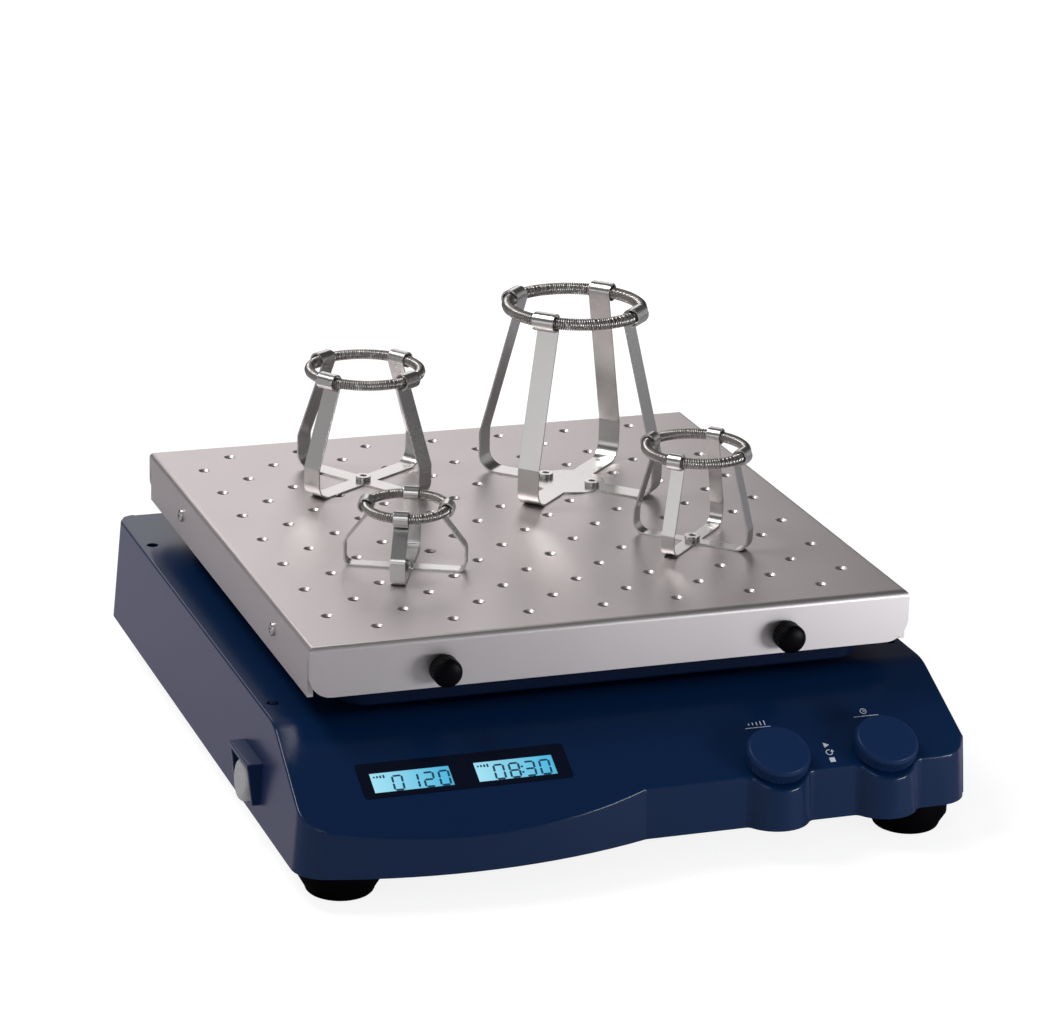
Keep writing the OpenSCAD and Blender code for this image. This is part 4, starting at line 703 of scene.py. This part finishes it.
def draw_figures(bm, text, x):
    """Seven-segment figures, a step apart from x to the right; a colon stands in the gap before the next one."""
    gap = FIGURE_STEP - FIGURE_WIDTH

    def leaning(start, across, up):
        """Point of a figure from its shares of the width and the height."""
        return (start + across * FIGURE_WIDTH + FIGURE_LEAN * up * FIGURE_HEIGHT, FIGURE_FOOT + up * FIGURE_HEIGHT)

    for sign in text:
        if sign == ":":
            for level in COLON_LEVELS:
                add_plate(bm, rectangle(*leaning(x - gap / 2, 0, level), FIGURE_BAR, FIGURE_BAR), FIGURE_LIFT)
            continue
        for segment in SEGMENTS[sign]:
            start, end = (leaning(x, *CORNERS[corner]) for corner in BARS[segment])
            add_plate(bm, segment_bar(start, end, FIGURE_BAR), FIGURE_LIFT)
        x += FIGURE_STEP


def make_bezel(left, right):
    """Dark bezel with an opening over each lit plate; left and right are the plates' middles."""
    low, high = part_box("display_window")
    middle = (low.x + high.x) / 2
    half_width, half_height = (high.x - low.x) / 2, WINDOW_HEIGHT / 2
    shift = WINDOW_DOWN - LCD_DOWN
    xs = [-half_width, left - LCD_WIDTH / 2 - middle, left + LCD_WIDTH / 2 - middle,
          right - LCD_WIDTH / 2 - middle, right + LCD_WIDTH / 2 - middle, half_width]
    ys = [-half_height, shift - LCD_HEIGHT / 2, shift + LCD_HEIGHT / 2, half_height]
    columns, rows = len(xs) - 1, len(ys) - 1
    open_cells = ((1, 1), (3, 1))

    def cell_of(point):
        """Column and row of a point in the plain grid, which reaches from -1 to 1."""
        return (point.x + 1) / 2 * columns, (point.y + 1) / 2 * rows

    def is_corner(edge):
        """Edge through the thickness at a corner of the bezel."""
        return abs(edge.verts[0].co.z - edge.verts[1].co.z) > BEZEL_THICKNESS / 2 and all(
            abs(abs(vert.co.x) - half_width) < NEAR and abs(abs(vert.co.y) - half_height) < NEAR
            for vert in edge.verts)

    bm = bmesh.new()
    bmesh.ops.create_grid(bm, x_segments=columns, y_segments=rows, size=1)
    openings = [face for face in bm.faces
                if tuple(int(place) for place in cell_of(face.calc_center_median())) in open_cells]
    bmesh.ops.delete(bm, geom=openings, context="FACES")
    for vert in bm.verts:
        column, row = (round(place) for place in cell_of(vert.co))
        vert.co.xy = (xs[column], ys[row])
    bmesh.ops.solidify(bm, geom=bm.faces[:], thickness=BEZEL_THICKNESS)
    bmesh.ops.recalc_face_normals(bm, faces=bm.faces)
    bmesh.ops.translate(bm, verts=bm.verts, vec=(0, 0, -max(vert.co.z for vert in bm.verts)))
    bmesh.ops.bevel(bm, geom=[edge for edge in bm.edges if is_corner(edge)], offset=BEZEL_CORNER, segments=5,
                    profile=0.5, affect="EDGES", material=-1)
    bmesh.ops.transform(bm, matrix=panel_matrix(middle, WINDOW_DOWN), verts=bm.verts)
    replace_node("display_window", "display_bezel", mesh_of(bm, "display_bezel"))


def make_display():
    """Bezel, the lit figure displays behind its openings, and their figures."""
    make_bezel(LCD_MIDDLE - LCD_SPACING / 2, LCD_MIDDLE + LCD_SPACING / 2)
    lit = bmesh.new()
    for x in (-LCD_SPACING / 2, LCD_SPACING / 2):
        add_plate(lit, rectangle(x, 0, LCD_WIDTH - LCD_PLAY, LCD_HEIGHT - LCD_PLAY), LCD_THICKNESS)
    bmesh.ops.recalc_face_normals(lit, faces=lit.faces)
    place = panel_matrix(LCD_MIDDLE, LCD_DOWN, -LCD_SUNK - LCD_THICKNESS)
    bmesh.ops.transform(lit, matrix=place, verts=lit.verts)
    add_piece("figure_displays", mesh_of(lit, "figure_displays"), LCD, "root")
    ink = bmesh.new()
    for text, x in TEXTS:
        draw_figures(ink, text, x)
    for x in (-LCD_SPACING / 2, LCD_SPACING / 2):
        for index in range(SCALE_BARS):
            add_plate(ink, rectangle(x + SCALE_START + index * SCALE_STEP, SCALE_Y, SCALE_WIDTH,
                                     SCALE_HEIGHT + index * SCALE_GROWTH), SCALE_LIFT)
    bmesh.ops.recalc_face_normals(ink, faces=ink.faces)
    bmesh.ops.transform(ink, matrix=panel_matrix(LCD_MIDDLE, LCD_DOWN, -LCD_SUNK), verts=ink.verts)
    add_piece("display_figures", mesh_of(ink, "display_figures"), FIGURES, "root")


# Printed signs: the ink's thickness, its height over the panel and its lines' width
INK = 0.05 * MM
INK_LIFT = 0.01 * MM
MARK_LINE = 0.35 * MM
# The line over each knob: its length, its place along the slope, and how far it is moved from the knob's axis
RULE_WIDTH = 14 * MM
RULE_Y = -36.3 * MM
LEFT_RULE_X = -1.6 * MM
RIGHT_RULE_X = -1.1 * MM
# Growing bars over the left line and the clock over the right one
BAR_COUNT = 5
BAR_START = -6 * MM
BAR_STEP = 2.2 * MM
BAR_RISE = 2.6 * MM
BAR_WIDTH = 0.55 * MM
BAR_HEIGHT = 1.2 * MM
BAR_GROWTH = 0.5 * MM
CLOCK_X = -1.5 * MM
CLOCK_RISE = 3.4 * MM
CLOCK_LINE = 0.4 * MM
LONG_HAND = 1.4 * MM
LONG_HAND_Y = 0.5 * MM
SHORT_HAND = 1.1 * MM
SHORT_HAND_X = 0.5 * MM
SHORT_HAND_Y = -0.1 * MM
# Three signs between the knobs: a triangle, a round arrow and a square; corners are in millimetres
SIGN_X = 0.5 * MM
SIGN_SIDE = 3 * MM
ROUND_START = 60
ROUND_LINE = 0.45 * MM
PLAY_CORNERS = ((-1.4, -1.7), (1.7, 0), (-1.4, 1.7))
ARROW_CORNERS = ((0.7, 0.2), (2.8, 0.2), (1.8, 1.8))
SIGN_RADIUS = 1.7 * MM
SIGN_STEP = 5.1 * MM
SIGN_Y = -58 * MM
ARC_STEPS = 14


def arc_strip(bm, x, y, start, end, width):
    """Curved printed line of the given width, angles in degrees; a whole turn closes on itself."""
    centre = Vector((x, y, 0))
    before = set(bm.edges)
    section = [bm.verts.new(centre + Vector((SIGN_RADIUS + side * width / 2, 0, up)))
               for side, up in ((-1, 0), (1, 0), (1, INK), (-1, INK))]
    bmesh.ops.contextual_create(bm, geom=section)
    bmesh.ops.rotate(bm, verts=section, cent=centre, matrix=Matrix.Rotation(math.radians(start), 3, "Z"))
    sides = [edge for edge in bm.edges if edge not in before]
    cap = sides[0].link_faces[0]
    turn = math.radians(end - start)
    if end - start >= 360:
        bmesh.ops.delete(bm, geom=[cap], context="FACES_ONLY")
        bmesh.ops.spin(bm, geom=sides, cent=centre, axis=(0, 0, 1), angle=turn, steps=ARC_STEPS, use_merge=True)
    else:
        bmesh.ops.spin(bm, geom=[cap], cent=centre, axis=(0, 0, 1), angle=turn, steps=ARC_STEPS)


def make_marks():
    """Plain printed signs by the knobs: a line and a sign over each, and three signs between them."""
    bm = bmesh.new()
    left = JOINTS["knob_left_turn"]["pos_m"][0]
    right = JOINTS["knob_right_turn"]["pos_m"][0]

    def bar(x, y, width, height):
        """Printed rectangle round its middle."""
        add_plate(bm, rectangle(x, y, width, height), INK)

    def triangle(x, y, corners):
        """Printed triangle; the corners are millimetres from the point."""
        add_plate(bm, [(x + across * MM, y + up * MM) for across, up in corners], INK)

    for x in (left + LEFT_RULE_X, right + RIGHT_RULE_X):
        bar(x, RULE_Y, RULE_WIDTH, MARK_LINE)
    for index in range(BAR_COUNT):
        bar(left + BAR_START + index * BAR_STEP, RULE_Y + BAR_RISE, BAR_WIDTH, BAR_HEIGHT + index * BAR_GROWTH)
    clock_x, clock_y = right + CLOCK_X, RULE_Y + CLOCK_RISE
    arc_strip(bm, clock_x, clock_y, 0, 360, CLOCK_LINE)
    bar(clock_x, clock_y + LONG_HAND_Y, MARK_LINE, LONG_HAND)
    bar(clock_x + SHORT_HAND_X, clock_y + SHORT_HAND_Y, SHORT_HAND, MARK_LINE)
    middle = (left + right) / 2 + SIGN_X
    triangle(middle, SIGN_Y + SIGN_STEP, PLAY_CORNERS)
    arc_strip(bm, middle, SIGN_Y, ROUND_START, 360, ROUND_LINE)
    triangle(middle, SIGN_Y, ARROW_CORNERS)
    bar(middle, SIGN_Y - SIGN_STEP, SIGN_SIDE, SIGN_SIDE)
    bmesh.ops.recalc_face_normals(bm, faces=bm.faces)
    bmesh.ops.transform(bm, matrix=panel_matrix(0, 0, INK_LIFT), verts=bm.verts)
    add_piece("panel_marks", mesh_of(bm, "panel_marks"), PRINT, "root")


# Rounding of the other pieces that show, in millimetres, and the least angle of the edges rounded
COPY_ANGLE = 40
EASED = {"rubber_feet": 0.5, "thumb_screw_left": 0.12, "thumb_screw_right": 0.12, "switch_boot": 0.0,
         "switch_body": 0.2, "switch_rocker": 0.3, "mains_inlet": 0.25, "support_posts": 0.3,
         "counterweight": 0.4, "clamp_screws": 0.15, "deck_screws": 0.1}


def make_plain_copies():
    """Rounded copies of the other pieces that show."""
    for node, width in EASED.items():
        bm = merged_copy(node)
        if width:
            round_edges(bm, lambda edge: outward(edge, COPY_ANGLE), width * MM, 2)
        replace_node(node, node + "_finished", mesh_of(bm, node + "_finished"), sharp=32, weighted=True)


def dress_cad_nodes():
    """The nodes that stay as they are take the finish of their slot."""
    for node, piece in frame["nodes"].items():
        piece.data.materials.clear()
        piece.data.materials.append(FINISHES[SLOT_OF[node]])


# Studio


# Softboxes: name, place, aim, width and height, power and colour
LIGHTS = (
    ("key", (-1.2, 0.45, 2.25), (0, 0, 0.1), (0.9, 0.9), 34, (1.0, 0.985, 0.98)),
    ("rear", (0.1, 2.1, 1.1), (0, 0, 0.1), (1.8, 1.4), 9.2, (1.0, 0.97, 0.97)),
    ("front", (-1.0, -1.75, 1.55), (0, -0.1, 0.1), (0.8, 0.7), 4.2, (0.95, 0.98, 1.0)),
    ("right", (0.75, -0.85, 0.12), (0.1, -0.1, 0.08), (0.4, 0.2), 5.2, (0.94, 0.98, 1.0)),
    ("side_left", (-2.0, 0.3, 0.5), (0, 0, 0.15), (1.5, 0.9), 1.5, (1, 1, 1)),
    ("side_right", (1.9, 0.7, 0.5), (0, 0, 0.15), (1.5, 0.9), 1.5, (1, 1, 1)),
    ("left", (-1.6, -1.2, 0.45), (0, 0, 0.15), (1.8, 0.7), 3.8, (1, 1, 1)),
)


def area_light(name, place, aim, size, power, colour):
    """Softbox that faces the point it is aimed at."""
    light = bpy.data.lights.new(name, "AREA")
    light.shape = "RECTANGLE"
    light.size, light.size_y = size
    light.energy = power
    light.color = colour
    lamp = bpy.data.objects.new(name, light)
    bpy.context.scene.collection.objects.link(lamp)
    lamp.location = place
    lamp.rotation_euler = (Vector(aim) - Vector(place)).to_track_quat("-Z", "Y").to_euler()


def seen_or_mirrored(tree):
    """Two sockets: 1 for rays from the camera or through glass, and 1 for mirrored rays."""
    path = tree.nodes.new("ShaderNodeLightPath")
    both = math_node(tree, "MAXIMUM", path.outputs["Is Camera Ray"], path.outputs["Is Transmission Ray"])
    return both, path.outputs["Is Glossy Ray"]


def background(tree, colour, strength):
    """Background node of one colour."""
    node = tree.nodes.new("ShaderNodeBackground")
    node.inputs["Color"].default_value = (*colour, 1)
    node.inputs["Strength"].default_value = strength
    return node


def make_world():
    """White where it is seen, soft where it lights, dark where it is mirrored."""
    world = bpy.data.worlds.new("studio")
    bpy.context.scene.world = world
    world.use_nodes = True
    tree = world.node_tree
    tree.nodes.clear()
    seen, glossy = seen_or_mirrored(tree)
    white = background(tree, (1, 1, 1), 1.0)
    soft = background(tree, (0.86, 0.87, 0.92), 0.26)
    mirrored = background(tree, (0.90, 0.87, 0.90), 0.07)
    unseen = mixed(tree, glossy, soft, mirrored)
    out = tree.nodes.new("ShaderNodeOutputWorld")
    tree.links.new(mixed(tree, seen, unseen, white).outputs[0], out.inputs["Surface"])


# Floor: half its side, how far out its shadow is kept, where it is all white, and its glow's share near the part
# and strength
FLOOR_REACH = 4
SHADOW_REACH = 0.45
WHITE_REACH = 0.95
NEAR_GLOW = 0.72
GLOW_STRENGTH = 1.2


def make_floor():
    """Pale floor that keeps the shadow near the part and fades to white further out."""
    bm = bmesh.new()
    bmesh.ops.create_grid(bm, x_segments=1, y_segments=1, size=FLOOR_REACH)
    floor = bpy.data.objects.new("floor", mesh_of(bm, "floor"))
    bpy.context.scene.collection.objects.link(floor)
    material = bpy.data.materials.new("pale_floor")
    material.use_nodes = True
    tree = material.node_tree
    shader = tree.nodes["Principled BSDF"]
    shader.inputs["Base Color"].default_value = (0.86, 0.86, 0.87, 1)
    shader.inputs["Roughness"].default_value = 0.9
    shader.inputs["Specular IOR Level"].default_value = 0.1
    glow = tree.nodes.new("ShaderNodeEmission")
    glow.inputs["Color"].default_value = (1, 1, 1, 1)
    glow.inputs["Strength"].default_value = GLOW_STRENGTH
    seen, glossy = seen_or_mirrored(tree)
    place = tree.nodes.new("ShaderNodeTexCoord")
    reach = tree.nodes.new("ShaderNodeVectorMath")
    reach.operation = "LENGTH"
    tree.links.new(place.outputs["Object"], reach.inputs[0])
    fade = tree.nodes.new("ShaderNodeMapRange")
    fade.inputs["From Min"].default_value = SHADOW_REACH
    fade.inputs["From Max"].default_value = WHITE_REACH
    fade.inputs["To Min"].default_value = NEAR_GLOW
    tree.links.new(reach.outputs["Value"], fade.inputs["Value"])
    amount = math_node(tree, "MULTIPLY", seen, fade.outputs["Result"])
    dim = tree.nodes.new("ShaderNodeBsdfDiffuse")
    dim.inputs["Color"].default_value = (0.43, 0.42, 0.44, 1)
    lit = mixed(tree, glossy, shader, dim)
    tree.links.new(mixed(tree, amount, lit, glow).outputs[0], tree.nodes["Material Output"].inputs["Surface"])
    floor.data.materials.append(material)


def make_camera():
    """Camera at the photograph's viewing angle, in its frame."""
    data = bpy.data.cameras.new("camera")
    data.sensor_width = SENSOR_MM
    data.lens = SENSOR_MM * FOCAL_PIXELS / PHOTO_WIDTH
    data.clip_end = CLIP_END
    camera = bpy.data.objects.new("camera", data)
    bpy.context.scene.collection.objects.link(camera)
    aim = Euler((math.radians(90 - CAMERA_ELEVATION), 0, math.radians(-CAMERA_AZIMUTH))).to_matrix().to_4x4()
    roll = Matrix.Rotation(math.radians(CAMERA_ROLL), 4, "Z")
    camera.matrix_world = Matrix.Translation(CAMERA_PLACE) @ aim @ roll
    bpy.context.scene.camera = camera


make_camera()
bpy.context.scene.view_settings.view_transform = "Standard"
make_world()
make_floor()
for light in LIGHTS:
    area_light(*light)

dress_cad_nodes()
make_housing()
make_carrier()
make_platform()
for knob_side in ("left", "right"):
    make_knob(knob_side)
for clamp_size in ("large", "medium", "small", "mini"):
    make_clamp(clamp_size)
    make_coil(clamp_size)
make_screws()
make_display()
make_marks()
make_plain_copies()
